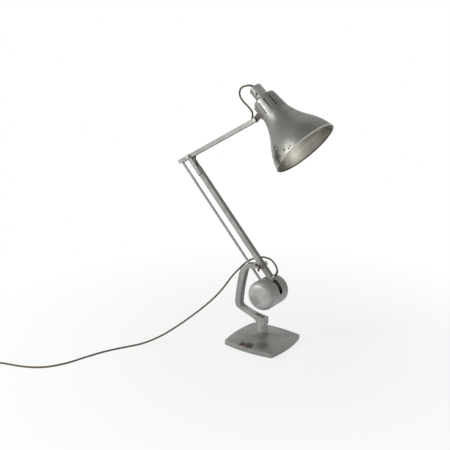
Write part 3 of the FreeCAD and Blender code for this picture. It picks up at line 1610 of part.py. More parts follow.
flex(
    "upper_inner_cord",
    [(elbow, size.arm_stop + 6, 0, rise), (elbow, size.upper_length - 25, 0, rise)],
)
flex(
    "head_cord_loop",
    [
        (elbow, size.upper_length - 25, 0, rise),
        (elbow, size.upper_length - 11.5, 0, rise),
        (head_stand, -7, 0, 17.4),
        (head_stand, -16.5, 1, 28.4),
        (head_stand, -44.5, 3, 48.9),
        (head_stand, -52.5, 3, 63.4),
        (head_stand, -49.5, 3, 78.4),
        (head_stand, -35.5, 2, 85.9),
        (mouth, cap_end - 10, 0, 0),
        (mouth, cap_end + 3.5, 0, 0),
    ],
)

# Coil: two turns in on the table, up a layer in the half turn where it reverses, and out again.

INWARD_HALF_TURNS = 4
OUTWARD_HALF_TURNS = 3


def tangent_arc(start, tangent, end):
    """The arc that leaves start along tangent and ends at end, with its last tangent."""
    chord = end - start
    across = chord - tangent * chord.dot(tangent)
    radius = chord.Length ** 2 / (2 * across.Length)
    centre = start + across.normalize() * radius
    outward = (start + end - centre * 2).normalize()
    arc = Part.Arc(start, centre + outward * radius, end).toShape()
    last = chord * (2 * chord.dot(tangent) / chord.Length ** 2) - tangent
    return arc, last.normalize()


def coil_path():
    """Quarter-turn arcs; every half turn has its own middle, so that the turns run on smoothly."""
    layer = size.cord_diameter.number + size.coil_gap.number
    step = layer / 2
    radii = [size.coil_radius.number - step * index for index in range(INWARD_HALF_TURNS + 1)]
    radii = radii + [radii[-1] + step * (index + 1) for index in range(OUTWARD_HALF_TURNS)]
    x = size.coil_x.number
    y = size.coil_y.number + radii[0]
    z = floor.number
    lead = Vector(size.cord_diameter.number, 0, 0)
    place = Vector(x, y, z)
    tangent = Vector(-1, 0, 0)
    edges = [Part.LineSegment(place + lead, place).toShape()]
    for index, radius in enumerate(radii):
        heading = -1 if index % 2 == 0 else 1
        climb = layer if index == INWARD_HALF_TURNS else 0
        swell = math.sqrt(radius ** 2 + climb ** 2 / 4)
        y = place.y + heading * radius
        for end in (
            Vector(x + heading * swell, y, place.z + climb / 2),
            Vector(x, y + heading * radius, place.z + climb),
        ):
            arc, tangent = tangent_arc(place, tangent, end)
            edges.append(arc)
            place = end
    edges.append(Part.LineSegment(place, place - lead).toShape())
    return Part.Wire(edges)


def least_gap(path, apart):
    """Least gap between stretches of the tube that are further apart than that along it."""
    count = int(path.Length)
    points = path.discretize(count)
    skip = int(apart)
    least = path.Length
    for index, point in enumerate(points):
        for other in points[index + skip :]:
            least = min(least, point.distanceToPoint(other))
    return least - 2 * cord_radius.number


coil_line = coil_path()
print("cord_coil least gap to itself", round(least_gap(coil_line, 4 * size.cord_diameter.number), 2))
swept("cord_coil", coil_line)

EARTH_PIN_PLACE = 13

# Plug, lying on its cover with its pins up, one pin lead away from the coil.

exit_x = size.coil_x - size.cord_diameter
exit_y = size.coil_y + size.coil_radius
exit_z = floor + size.cord_diameter + size.coil_gap
plug_face = exit_x - size.plug_gap
plug_back = plug_face - size.plug_height
plug_y = exit_y - 4
flex(
    "plug_lead",
    [
        (table, exit_x, exit_y, exit_z),
        (table, exit_x - 16, exit_y, exit_z - 0.6),
        (table, plug_face + 8, plug_y, exit_z),
        (table, plug_face - size.plug_entry, plug_y, exit_z),
    ],
)


def rounded_slab(low, thick):
    slab = casting()
    drawing = sketch(slab, "XY", low)
    bend = size.plug_corner
    near = plug_y - size.plug_width / 2
    far = plug_y + size.plug_width / 2
    outline(
        drawing,
        [
            (plug_back + bend, near),
            (plug_face - bend, near, bend),
            (plug_face, near + bend),
            (plug_face, far - bend, bend),
            (plug_face - bend, far),
            (plug_back + bend, far, bend),
            (plug_back, far - bend),
            (plug_back, near + bend, bend),
        ],
    )
    pad(slab, drawing, thick)
    return slab


entry = cylinder(cord_hole, size.plug_entry + 10, (plug_face - size.plug_entry, plug_y, exit_z), "X")
node(cut(rounded_slab(dim(0), size.plug_cover_thick), entry), "plug_cover")
pin_line = plug_face - EARTH_PIN_PLACE
earth_line = pin_line - size.pin_spread
pins_foot = size.plug_cover_thick + size.plug_base_thick - OVERRUN


def flat_pin(line, y, thick_x, wide_y, length):
    return block(
        line - thick_x / 2,
        line + thick_x / 2,
        y - wide_y / 2,
        y + wide_y / 2,
        pins_foot,
        pins_foot + OVERRUN + length,
    )


flat_pins = [
    flat_pin(pin_line, plug_y + side * size.pin_spread / 2, size.pin_thick, size.pin_width, size.pin_length)
    for side in (-1, 1)
]
flat_pins.append(
    flat_pin(earth_line, plug_y, size.earth_pin_width, size.pin_thick, size.earth_pin_length)
)
all_pins = group(*flat_pins)
node(cut(rounded_slab(size.plug_cover_thick, size.plug_base_thick), all_pins), "plug_base")
node(group(*flat_pins), "plug_pins")

document.recompute()
for thing in document.Objects:
    if "Invalid" in thing.State or "Error" in thing.State:
        raise RuntimeError(thing.Label + " did not build")
for thing in nodes:
    if thing.Shape.isNull() or not thing.Shape.isValid():
        raise RuntimeError(thing.Label + " has no sound shape")
os.makedirs("parts", exist_ok=True)
for thing in nodes:
    thing.Shape.exportStep("parts/" + thing.Label + ".step")
print(len(nodes), "sub-parts written")
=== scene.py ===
# %% [markdown]
# # A tabletop searchlight lamp
#
# The lamp is a cast square foot, a C-shaped bracket that turns on it, two thin channel arms that
# balance against one heavy split weight, and a bell shade with slots for the warm air. Its metal is
# satin, warm aluminium grey, worn brown at the edges, and a brown braided flex runs along it.
#
# The shapes of the metal parts come from the measured model, so this script gives them their
# finish, and it makes new pieces where the model is too plain: the braided flex and its sleeves.

# %% Start from the measured lamp
import math
import bmesh
import bpy
from mathutils import Matrix, Vector


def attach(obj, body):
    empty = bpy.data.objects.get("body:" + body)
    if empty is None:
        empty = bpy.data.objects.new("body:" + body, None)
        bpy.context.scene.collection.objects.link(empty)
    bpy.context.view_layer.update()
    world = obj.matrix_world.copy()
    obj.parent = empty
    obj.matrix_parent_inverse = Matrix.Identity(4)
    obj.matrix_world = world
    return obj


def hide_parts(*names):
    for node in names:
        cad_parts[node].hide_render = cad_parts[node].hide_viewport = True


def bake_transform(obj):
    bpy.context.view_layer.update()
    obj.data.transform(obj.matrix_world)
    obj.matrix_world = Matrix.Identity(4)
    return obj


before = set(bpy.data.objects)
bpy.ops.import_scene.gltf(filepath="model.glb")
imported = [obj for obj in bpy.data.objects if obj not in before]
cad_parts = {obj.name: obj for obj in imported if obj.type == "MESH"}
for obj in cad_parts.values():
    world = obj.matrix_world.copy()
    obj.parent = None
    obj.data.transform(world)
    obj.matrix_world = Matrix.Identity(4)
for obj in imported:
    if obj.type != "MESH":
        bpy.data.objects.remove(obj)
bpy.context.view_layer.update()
scene = bpy.context.scene

# %% [markdown]
# ## The camera
#
# The photograph was taken from a little above the lamp and off to one side. A camera is placed by
# its position and by the direction in which it looks. `to_track_quat` turns that direction into a
# rotation whose upward side stays level, which is how a tripod holds a camera.

# %% Camera
LENS_MM = 55.353
CAMERA_PLACE = (0.93812647, -1.52486288, 0.8365894)
LOOKS_ALONG = Vector((-0.55233723, 0.78959219, -0.26733454))

camera_data = bpy.data.cameras.new("photo_camera")
camera_data.sensor_width = 36.0
camera_data.lens = LENS_MM
camera = bpy.data.objects.new("photo_camera", camera_data)
scene.collection.objects.link(camera)
camera.location = CAMERA_PLACE
camera.rotation_euler = LOOKS_ALONG.to_track_quat("-Z", "Y").to_euler()
scene.camera = camera
print("the camera stands", round(camera.location.length, 2), "m from the foot")

# %% [markdown]
# ## The flex
#
# A cloth-covered flex bends in long easy curves, because its cores are stiff. A NURBS spline of
# order 3 draws just such a line: it swings near its control points and never shows a corner. The
# whole mains lead is drawn as one spline, from the bush in the lower arm, under the clip, down
# beside the foot and into a coil that ends in the plug. `new_from_object` then hands back the
# points along that line.
#
# The coil is worked out by a loop, half a turn at a time. The turns spiral in on the table, climb
# one diameter in one half turn, and spiral out again on top.

# %% Lines for the flex
FLEX = 0.005
ON_TABLE = 0.0026
COIL_START = (-0.565, -0.525)
COIL_RADII = (0.0349, 0.0322, 0.0294, 0.0266, 0.0238, 0.0266, 0.0294, 0.0322)
COIL_STEPS = 7
CLIMBING_HALF = 4
LAYER = 0.0056


def smooth_line(name, points, steps=12):
    """The points along the smooth spline that these control points pull into shape."""
    curve = bpy.data.curves.new(name, "CURVE")
    curve.dimensions = "3D"
    curve.resolution_u = steps
    spline = curve.splines.new("NURBS")
    spline.points.add(len(points) - 1)
    for knot, point in zip(spline.points, points):
        knot.co = (*point, 1.0)
    spline.order_u = 3
    spline.use_endpoint_u = True
    holder = bpy.data.objects.new(name, curve)
    sampled = bpy.data.meshes.new_from_object(holder)
    line = [vertex.co.copy() for vertex in sampled.vertices]
    bpy.data.objects.remove(holder)
    bpy.data.meshes.remove(sampled)
    return line


def line_length(line):
    return sum((b - a).length for a, b in zip(line, line[1:]))


bush_to_clip = [(0.0310, 0.0, 0.1982), (0.0500, 0.0, 0.2150), (0.0228, 0.0090, 0.2443),
                (-0.0049, 0.0101, 0.2473), (-0.0221, 0.0101, 0.2422)]
clip_to_coil = [(-0.0365, 0.0101, 0.2379), (-0.0610, 0.0105, 0.2240), (-0.0760, -0.0110, 0.2030),
                (-0.0870, -0.0330, 0.1820), (-0.1020, -0.0480, 0.1520), (-0.1240, -0.0690, 0.1200),
                (-0.1570, -0.1010, 0.0840), (-0.1900, -0.1340, 0.0520), (-0.2260, -0.1700, 0.0220),
                (-0.2630, -0.2060, 0.0026), (-0.2910, -0.2540, 0.0026), (-0.3170, -0.3030, 0.0026),
                (-0.3340, -0.3580, 0.0026), (-0.3480, -0.4120, 0.0026), (-0.3780, -0.4620, 0.0026),
                (-0.4300, -0.4910, 0.0026), (-0.4880, -0.5050, 0.0026), (-0.5270, -0.5250, 0.0026),
                (-0.5560, -0.5250, 0.0026)]
coil_to_plug = [(-0.5700, -0.5250, 0.0082), (-0.5860, -0.5250, 0.0076), (-0.5960, -0.5290, 0.0082),
                (-0.6130, -0.5290, 0.0082)]


def coil_turns():
    """Control points round the coil: seven points for each half turn, so fourteen for each turn."""
    x, y = COIL_START
    z = ON_TABLE
    points = []
    heading = -1
    swing = 1.0 / math.cos(math.pi / (2 * COIL_STEPS))
    for half, radius in enumerate(COIL_RADII):
        middle = y + heading * radius
        climb = LAYER if half == CLIMBING_HALF else 0.0
        for step in range(COIL_STEPS):
            angle = math.pi * (step + 0.5) / COIL_STEPS
            points.append((x + heading * radius * swing * math.sin(angle),
                           middle - heading * radius * swing * math.cos(angle),
                           z + climb * (step + 0.5) / COIL_STEPS))
        y = middle + heading * radius
        z = z + climb
        heading = -heading
    return points


mains_line = smooth_line("mains_line", bush_to_clip + clip_to_coil + coil_turns() + coil_to_plug)
print("the mains lead is", round(line_length(mains_line), 3), "m long")

# %% [markdown]
# A tube is made by drawing one ring of points round the start of the line and extruding it along
# the line. `extrude_edge_only` makes each new ring, and one matrix carries it to its place: it
# moves the ring along, and turns it by the small angle between the two directions, so that the tube
# never twists.
#
# Each face also gets its place in a UV map, once round in U and metres along in V. The braid
# pattern is drawn in that map, so it follows every bend of the flex.

# %% A tube along a line
RING = 12


def tube(name, line, radii):
    """A closed tube along the line. radii holds one radius for each point."""
    mesh = bpy.data.meshes.new(name)
    bm = bmesh.new()
    uv = bm.loops.layers.uv.new("UVMap")
    ahead = [(b - a).normalized() for a, b in zip(line, line[1:])]
    ahead = [ahead[0]] + [(a + b).normalized() for a, b in zip(ahead, ahead[1:])] + [ahead[-1]]
    start = Matrix.Translation(line[0]) @ ahead[0].to_track_quat("Z", "Y").to_matrix().to_4x4()
    ring = bmesh.ops.create_circle(bm, segments=RING, radius=radii[0], matrix=start)["verts"]
    seat = {vertex: (index, 0.0) for index, vertex in enumerate(ring)}
    edges = list(bm.edges)
    first_edges = edges
    run = 0.0
    for index in range(1, len(line)):
        run = run + (line[index] - line[index - 1]).length
        old_seats = {tuple(vertex.co): seat[vertex][0] for edge in edges for vertex in edge.verts}
        grown = bmesh.ops.extrude_edge_only(bm, edges=edges)["geom"]
        edges = [part for part in grown if isinstance(part, bmesh.types.BMEdge)]
        ring = [part for part in grown if isinstance(part, bmesh.types.BMVert)]
        for vertex in ring:
            seat[vertex] = (old_seats[tuple(vertex.co)], run)
        turn = ahead[index - 1].rotation_difference(ahead[index]).to_matrix().to_4x4()
        size = Matrix.Scale(radii[index] / radii[index - 1], 4)
        carry = Matrix.Translation(line[index]) @ turn @ size @ Matrix.Translation(-line[index - 1])
        bmesh.ops.transform(bm, matrix=carry, verts=ring)
    for face in bm.faces:
        face.smooth = True
        around = [seat[loop.vert][0] for loop in face.loops]
        wraps = max(around) - min(around) > 1
        for loop in face.loops:
            index, along = seat[loop.vert]
            loop[uv].uv = ((RING if wraps and index == 0 else index) / RING, along)
    bmesh.ops.holes_fill(bm, edges=first_edges + edges, sides=RING)
    bmesh.ops.recalc_face_normals(bm, faces=bm.faces)
    bm.to_mesh(mesh)
    bm.free()
    piece = bpy.data.objects.new(name, mesh)
    scene.collection.objects.link(piece)
    return piece


def even_tube(name, line):
    return tube(name, line, [FLEX / 2] * len(line))


# %% [markdown]
# ### The mains lead in two lengths
#
# The lower arm turns on the bracket, and the bracket turns on the foot. The lead is drawn as two
# lengths, split at the shoulder.

# %% The mains lead
SHOULDER = Vector((-0.060, 0.003, 0.222))

shoulder = min(range(len(mains_line)), key=lambda index: (mains_line[index] - SHOULDER).length)
bracket_line = mains_line[: shoulder + 1]
plug_line = mains_line[shoulder:]

flex_at_bracket = even_tube("flex_at_bracket", bracket_line)
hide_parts("main_cord_loop")
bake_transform(flex_at_bracket)

flex_to_plug = even_tube("flex_to_plug", plug_line)
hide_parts("main_cord", "cord_coil", "plug_lead")
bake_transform(flex_to_plug)
print("bracket length", round(line_length(bracket_line), 3), "m, plug length",
      round(line_length(plug_line), 3), "m")

# %% [markdown]
# ### The short lengths
#
# The flex runs hidden inside both channels, comes out at the elbow, and makes a tall loop from the
# end of the upper arm to the gland on top of the lampholder. That loop is slack so that the shade
# can tilt.

# %% Elbow, head and inner lengths
elbow_line = smooth_line("elbow_line",
                         [(-0.2194, 0.0, 0.4747), (-0.2459, 0.0, 0.5046), (-0.2100, 0.0, 0.5240)])
head_line = smooth_line("head_line", [
    (-0.0551, 0.0, 0.6078), (-0.0433, 0.0, 0.6142), (-0.0396, 0.0, 0.6360),
                                      (-0.0491, 0.0010, 0.6470),
    (-0.0771, 0.0030, 0.6675), (-0.0851, 0.0030, 0.6820), (-0.0821, 0.0030, 0.6970),
                                      (-0.0681, 0.0020, 0.7045),
    (-0.0426, 0.0, 0.7078), (-0.0328, 0.0, 0.6985)])

elbow_flex = even_tube("elbow_flex", elbow_line)
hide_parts("elbow_cord")
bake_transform(elbow_flex)

head_flex = even_tube("head_flex", head_line)
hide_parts("head_cord_loop")
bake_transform(head_flex)
print("head loop", round(line_length(head_line), 3), "m, elbow", round(line_length(elbow_line), 3),
      "m")

lower_line = smooth_line("lower_line",
                         [(0.0310, 0.0, 0.1982), (0.0193, 0.0, 0.1878), (0.0072, 0.0, 0.2185),
                                        (-0.2194, 0.0, 0.4747)])
upper_line = [elbow_line[-1], head_line[0]]
lower_flex = even_tube("lower_flex", lower_line)
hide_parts("lower_inner_cord")
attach(lower_flex, "lower_arm")
upper_flex = even_tube("upper_flex", upper_line)
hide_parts("upper_inner_cord")
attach(upper_flex, "upper_arm")

# %% [markdown]
# ### Sleeves
#
# Where the flex leaves the arm, a short rubber sleeve keeps it from bending sharply over the edge
# of the bush. It is thick at the bush and thin at its free end. The same tube is used, along the
# first part of the same line, with a radius that falls as it goes. A second, smaller sleeve stands
# on the lampholder.

# %% Tapered sleeves
def first_part(line, reach):
    """The points of the line up to that distance along it."""
    part = [line[0]]
    while line_length(part) < reach:
        part.append(line[len(part)])
    return part


def sleeve(name, line, reach, thick, thin):
    part = first_part(line, reach)
    last = len(part) - 1
    radii = [thick + (thin - thick) * (index / last) ** 0.8 for index in range(last + 1)]
    return tube(name, part, radii)


bush_sleeve = sleeve("bush_sleeve", bracket_line, 0.024, 0.0040, 0.0028)
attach(bush_sleeve, "lower_arm")
gland_sleeve = sleeve("gland_sleeve", list(reversed(head_line)), 0.020, 0.0038, 0.0028)
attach(gland_sleeve, "head")

# %% [markdown]
# ## Floor and light
#
# The lamp stands on a white sheet in a bright, even studio. The floor is a large disc. Close to the
# lamp it is a plain pale floor that keeps the soft shadow, and further out it fades into the white
# background, so no line shows where it ends. Only the camera and mirror-like reflections see that
# white: it sheds no light on the lamp.

# %% Floor
FADE_STARTS, FADE_ENDS = 0.25, 0.9
PAPER_WHITE = 0.80

floor_mesh = bpy.data.meshes.new("floor")
bm = bmesh.new()
bmesh.ops.create_circle(bm, cap_ends=True, segments=96, radius=9.0)
bm.to_mesh(floor_mesh)
bm.free()
floor = bpy.data.objects.new("floor", floor_mesh)
scene.collection.objects.link(floor)


def add(tree, kind, **settings):
    """A new node with these settings."""
    node = tree.nodes.new("ShaderNode" + kind)
    for key, value in settings.items():
        setattr(node, key, value)
    return node


def seen_directly(tree):
    """1 for camera rays and for what mirrors and glass show, 0 for light that falls on things."""
    path = add(tree, "LightPath")
    first = add(tree, "Math", operation="MAXIMUM")
    tree.links.new(path.outputs["Is Camera Ray"], first.inputs[0])
    tree.links.new(path.outputs["Is Glossy Ray"], first.inputs[1])
    both = add(tree, "Math", operation="MAXIMUM")
    tree.links.new(first.outputs[0], both.inputs[0])
    tree.links.new(path.outputs["Is Transmission Ray"], both.inputs[1])
    return both.outputs[0]


floor_paper = bpy.data.materials.new("floor_paper")
floor_paper.use_nodes = True
tree = floor_paper.node_tree
tree.nodes["Principled BSDF"].inputs["Base Color"].default_value = (0.86, 0.86, 0.86, 1.0)
tree.nodes["Principled BSDF"].inputs["Roughness"].default_value = 0.9
white = add(tree, "Emission")
white.inputs["Strength"].default_value = 1.0
place = add(tree, "TexCoord")
distance = add(tree, "VectorMath", operation="LENGTH")
tree.links.new(place.outputs["Object"], distance.inputs[0])
fade = add(tree, "MapRange")
fade.inputs["From Min"].default_value = FADE_STARTS
fade.inputs["From Max"].default_value = FADE_ENDS
fade.inputs["To Min"].default_value = PAPER_WHITE
fade.inputs["To Max"].default_value = 1.0
tree.links.new(distance.outputs["Value"], fade.inputs["Value"])
amount = add(tree, "Math", operation="MULTIPLY")
tree.links.new(seen_directly(tree), amount.inputs[0])
tree.links.new(fade.outputs["Result"], amount.inputs[1])
mix = add(tree, "MixShader")
tree.links.new(amount.outputs[0], mix.inputs["Fac"])
tree.links.new(tree.nodes["Principled BSDF"].outputs[0], mix.inputs[1])
tree.links.new(white.outputs[0], mix.inputs[2])
tree.links.new(mix.outputs[0], tree.nodes["Material Output"].inputs["Surface"])
floor_mesh.materials.append(floor_paper)

# %% [markdown]
# The world gives an even grey light from all round, as the white walls of a studio do. Three large
# soft lamps stand round the lamp. The key stands in front on the left, a little higher than the
# shade. The other two are much weaker: one on the right, and one high up behind. Area lamps are
# aimed with the same `to_track_quat` as the camera.

# %% World and lamps
world = bpy.data.worlds.new("studio")
scene.world = world
world.use_nodes = True
tree = world.node_tree
tree.nodes.clear()
room = add(tree, "Background")
room.inputs["Color"].default_value = (0.93, 0.95, 1.0, 1.0)
room.inputs["Strength"].default_value = 0.32
backdrop = add(tree, "Background")
backdrop.inputs["Color"].default_value = (1.0, 1.0, 1.0, 1.0)
backdrop.inputs["Strength"].default_value = 1.0
mix = add(tree, "MixShader")
tree.links.new(seen_directly(tree), mix.inputs["Fac"])
tree.links.new(room.outputs[0], mix.inputs[1])
tree.links.new(backdrop.outputs[0], mix.inputs[2])
tree.links.new(mix.outputs[0], add(tree, "OutputWorld").inputs["Surface"])


def soft_lamp(name, place, aim, wide, high, watts):
    data = bpy.data.lights.new(name, "AREA")
    data.shape = "RECTANGLE"
    data.size = wide
    data.size_y = high
    data.energy = watts
    lamp = bpy.data.objects.new(name, data)
    scene.collection.objects.link(lamp)
    lamp.location = place
    lamp.rotation_euler = (Vector(aim) - Vector(place)).to_track_quat("-Z", "Y").to_euler()


soft_lamp("left_softbox", (-1.5, -1.9, 1.15), (0.0, 0.0, 0.35), 0.9, 1.3, 38.0)
soft_lamp("right_softbox", (2.0, -0.6, 1.0), (0.0, 0.0, 0.3), 0.8, 1.4, 3.0)
soft_lamp("top_softbox", (-0.3, 0.8, 2.0), (0.0, 0.0, 0.4), 1.2, 1.0, 3.0)
scene.view_settings.view_transform = "Standard"
print("the lamp is lit by", len(bpy.data.lights), "soft lamps")

# %% [markdown]
# ## Finishes
#
# Every finish is made of the same few ingredients, so each gets a small helper: the place on the
# piece, a cloudy noise, a range that turns the noise into a mask, a mix of two colours, and a bump.
# The numbers are in metres, so a scale of 1000 gives marks about a millimetre wide.

# %% Ingredients of a finish
def new_finish(name):
    finish = bpy.data.materials.new(name)
    finish.use_nodes = True
    tree = finish.node_tree
    return finish, tree, tree.nodes["Principled BSDF"]


def spot_on_piece(tree):
    return add(tree, "TexCoord").outputs["Object"]


def way_it_faces(tree):
    return add(tree, "TexCoord").outputs["Normal"]


def stretched(tree, vector, scale):
    """The place, stretched by a different amount along each axis, so that noise becomes streaks."""
    mapping = add(tree, "Mapping")
    mapping.inputs["Scale"].default_value = scale
    tree.links.new(vector, mapping.inputs["Vector"])
    return mapping.outputs[0]


def cloud(tree, vector, scale, detail=4.0, distortion=0.0):
    noise = add(tree, "TexNoise")
    noise.inputs["Scale"].default_value = scale
    noise.inputs["Detail"].default_value = detail
    noise.inputs["Distortion"].default_value = distortion
    tree.links.new(vector, noise.inputs["Vector"])
    return noise.outputs["Fac"]


def mask(tree, value, low, high, start=0.0, end=1.0):
    """start where the value is under low, end where it is over high, and a slope between."""
    node = add(tree, "MapRange")
    node.inputs["From Min"].default_value = low
    node.inputs["From Max"].default_value = high
    node.inputs["To Min"].default_value = start
    node.inputs["To Max"].default_value = end
    tree.links.new(value, node.inputs["Value"])
    return node.outputs["Result"]


def work(tree, operation, first, second):
    """Arithmetic on two values. The second may be a plain number."""
    node = add(tree, "Math", operation=operation)
    tree.links.new(first, node.inputs[0])
    if isinstance(second, (int, float)):
        node.inputs[1].default_value = second
    else:
        tree.links.new(second, node.inputs[1])
    return node.outputs[0]


def product(tree, first, second):
    return work(tree, "MULTIPLY", first, second)


def tint(tree, amount, first, second):
    """first where amount is 0, second where it is 1. Each is a colour or another tint."""
    node = add(tree, "Mix", data_type="RGBA")
    tree.links.new(amount, node.inputs["Factor"])
    for socket, colour in ((node.inputs[6], first), (node.inputs[7], second)):
        if isinstance(colour, tuple):
            socket.default_value = (*colour, 1.0)
        else:
            tree.links.new(colour, socket)
    return node.outputs[2]


def rough_skin(tree, shader, height, strength, distance=0.001):
    bump = add(tree, "Bump")
    bump.inputs["Strength"].default_value = strength
    bump.inputs["Distance"].default_value = distance
    tree.links.new(height, bump.inputs["Height"])
    tree.links.new(bump.outputs[0], shader.inputs["Normal"])


# %% [markdown]
# Paint wears first on corners. The Bevel node looks a short way round each point and gives back the
# direction that a rounded corner would have there. Where that differs from the real direction of
# the surface, the point lies on a corner. Multiplied by a cloud, it gives broken, chipped edges.

# %% Where corners wear
def corners(tree, reach):
    rounded = add(tree, "Bevel", samples=4)
    rounded.inputs["Radius"].default_value = reach
    flat = add(tree, "NewGeometry")
    same = add(tree, "VectorMath", operation="DOT_PRODUCT")
    tree.links.new(rounded.outputs[0], same.inputs[0])
    tree.links.new(flat.outputs["Normal"], same.inputs[1])
    return mask(tree, same.outputs["Value"], 0.80, 0.985, 1.0, 0.0)


# %% [markdown]
# ### Aluminium paint
#
# The castings and arms are painted with aluminium paint: fine metal flakes in a clear varnish. So
# it is a metal, but a rough one, with tiny bright and dark flakes, slow clouds where hands have
# polished or soiled it, and brown primer where the corners have worn through. The same recipe
# serves every casting and arm, and only its colours, clouds and amount of wear differ.

# %% Aluminium paint
def aluminium_paint(name, light, dark, worn, cloud_size, wear, rough=0.42, casting=0.10,
                    metal=0.35):
    finish, tree, shader = new_finish(name)
    spot = spot_on_piece(tree)
    clouds = mask(tree, cloud(tree, spot, cloud_size, 5.0, 0.4), 0.36, 0.66)
    colour = tint(tree, clouds, dark, light)
    flakes = mask(tree, cloud(tree, spot, 2600.0, 2.0), 0.35, 0.75, 0.0, 0.12)
    colour = tint(tree, flakes, colour, tuple(min(1.0, part * 1.35) for part in light))
    soil = mask(tree, cloud(tree, spot, cloud_size * 4.3, 6.0, 1.2), 0.60, 0.74, 0.0, 0.45 * wear)
    colour = tint(tree, soil, colour, tuple(part * 0.62 for part in dark))
    broken = mask(tree, cloud(tree, spot, 420.0, 5.0, 0.6), 0.45, 0.62)
    chipped = product(tree, product(tree, corners(tree, 0.0009), broken), wear)
    colour = tint(tree, chipped, colour, worn)
    tree.links.new(colour, shader.inputs["Base Color"])
    shader.inputs["Metallic"].default_value = metal
    gloss = mask(tree, cloud(tree, spot, cloud_size * 1.7, 4.0), 0.3, 0.7, rough - 0.07,
                 rough + 0.10)
    rough_where_chipped = work(tree, "ADD", gloss, product(tree, chipped, 0.25))
    tree.links.new(rough_where_chipped, shader.inputs["Roughness"])
    coarse = product(tree, cloud(tree, spot, 210.0, 3.0), 1.4)
    grain = work(tree, "ADD", cloud(tree, spot, 950.0, 4.0), coarse)
    height = work(tree, "SUBTRACT", grain, product(tree, chipped, 0.6))
    rough_skin(tree, shader, height, casting, 0.0006)
    return finish


BROWN_PRIMER = (0.085, 0.060, 0.036)
bracket_paint = aluminium_paint("bracket_paint", (0.37, 0.37, 0.35), (0.28, 0.28, 0.262),
                                BROWN_PRIMER, 38.0, 0.55, casting=0.16)
arm_paint = aluminium_paint("arm_paint", (0.35, 0.347, 0.328), (0.245, 0.242, 0.222), BROWN_PRIMER,
                            30.0, 0.75, casting=0.07)
rod_paint = aluminium_paint("rod_paint", (0.37, 0.37, 0.35), (0.29, 0.29, 0.272), BROWN_PRIMER,
                            34.0, 0.45, casting=0.06)
lug_paint = aluminium_paint("lug_paint", (0.095, 0.085, 0.066), (0.045, 0.038, 0.027), BROWN_PRIMER,
                            60.0, 1.0, casting=0.15)
print("aluminium paint is mixed for the bracket, the arms, the rod and the lug")

# %% [markdown]
# Some sides are painted lighter or darker than the rest, as painted light and shade, and some carry
# dirt and wear. A tint can be laid over a finish wherever a mask asks for it: `overlay` puts it
# between the colour that was there and the shader. Two masks do most of the work. One is 1 on the
# sides that face a given way. The other climbs from 0 to 1 between two planes, measured along a
# direction.
#
# The web of the lower arm, which faces up and forward, is painted darker than its cheeks as painted
# shade, and carries dark streaks of dirt and rubbed blotches. Faces that look down under the arm
# get painted shade too. The inside of the bracket's channel is painted pale, as painted light in a
# recess that would otherwise render in shade.

# %% Sides painted lighter and darker, with dirt
def overlay(finish, amount, colour):
    tree = finish.node_tree
    socket = tree.nodes["Principled BSDF"].inputs["Base Color"]
    tree.links.new(tint(tree, amount, socket.links[0].from_socket, colour), socket)


def along(tree, vector, way):
    """How far the vector goes in that direction."""
    node = add(tree, "VectorMath", operation="DOT_PRODUCT")
    tree.links.new(vector, node.inputs[0])
    node.inputs[1].default_value = way
    return node.outputs["Value"]


def facing(tree, way, low=0.55, high=0.85):
    return mask(tree, along(tree, way_it_faces(tree), way), low, high)


WEB_FACES = (0.749, 0.0, 0.663)
UNDERSIDE_FACES = (0.476, 0.0, -0.88)
BRACKET_FRONT_FACES = (0.97, 0.0, 0.25)

tree = arm_paint.node_tree
spot = spot_on_piece(tree)
on_web = facing(tree, WEB_FACES)
# Painted shade: the web, which faces away from the key lamp, is tinted darker.
overlay(arm_paint, product(tree, on_web, 0.9), (0.165, 0.16, 0.142))
streaks = mask(tree, cloud(tree, stretched(tree, spot, (60.0, 420.0, 60.0)), 1.0, 5.0, 0.6), 0.50,
               0.60)
overlay(arm_paint, product(tree, product(tree, on_web, streaks), 0.85), (0.070, 0.060, 0.043))
near_corner = mask(tree, along(tree, spot, (0.0, -1.0, 0.0)), 0.0040, 0.0058)
blotches = mask(tree, cloud(tree, spot, 75.0, 5.0, 0.8), 0.42, 0.54)
worn_line = product(tree, product(tree, on_web, near_corner), blotches)
overlay(arm_paint, worn_line, (0.045, 0.038, 0.027))
# Painted shade: faces that look down under the arm are tinted dark brown grey.
under = facing(tree, UNDERSIDE_FACES)
overlay(arm_paint, product(tree, under, 0.8), (0.12, 0.10, 0.07))

tree = bracket_paint.node_tree
apart = add(tree, "SeparateXYZ")
tree.links.new(spot_on_piece(tree), apart.inputs[0])
in_channel = mask(tree, work(tree, "ABSOLUTE", apart.outputs["Y"], 0.0), 0.0070, 0.0073, 1.0, 0.0)
before_column = mask(tree, apart.outputs["X"], -0.030, -0.024, 1.0, 0.0)
not_outside = facing(tree, BRACKET_FRONT_FACES, -0.6, -0.3)
in_channel = product(tree, product(tree, in_channel, before_column), not_outside)
# Painted light: the inside of the bracket's channel is tinted pale, to lift the shade in the
# recess.
overlay(bracket_paint, product(tree, in_channel, 0.85), (0.80, 0.80, 0.78))
print("the arm's web is darker and the bracket's channel paler than the rest")

# %% [markdown]
# ### The foot
#
# The foot is sand cast, so its skin is coarser. Its upright edge is painted lighter than its
# sloping
# sides, as painted light and shade: the upward part of the surface direction tells the two apart.
# Round the bare plate at the front the paint is rubbed down to a brown stain, which is a cloud kept
# near one point.

# %% Foot paint
def near_point(tree, spot, point, reach):
    """1 at the point, 0 further away than reach."""
    gap = add(tree, "VectorMath", operation="DISTANCE")
    tree.links.new(spot, gap.inputs[0])
    gap.inputs[1].default_value = point
    return mask(tree, gap.outputs["Value"], 0.0, reach, 1.0, 0.0)


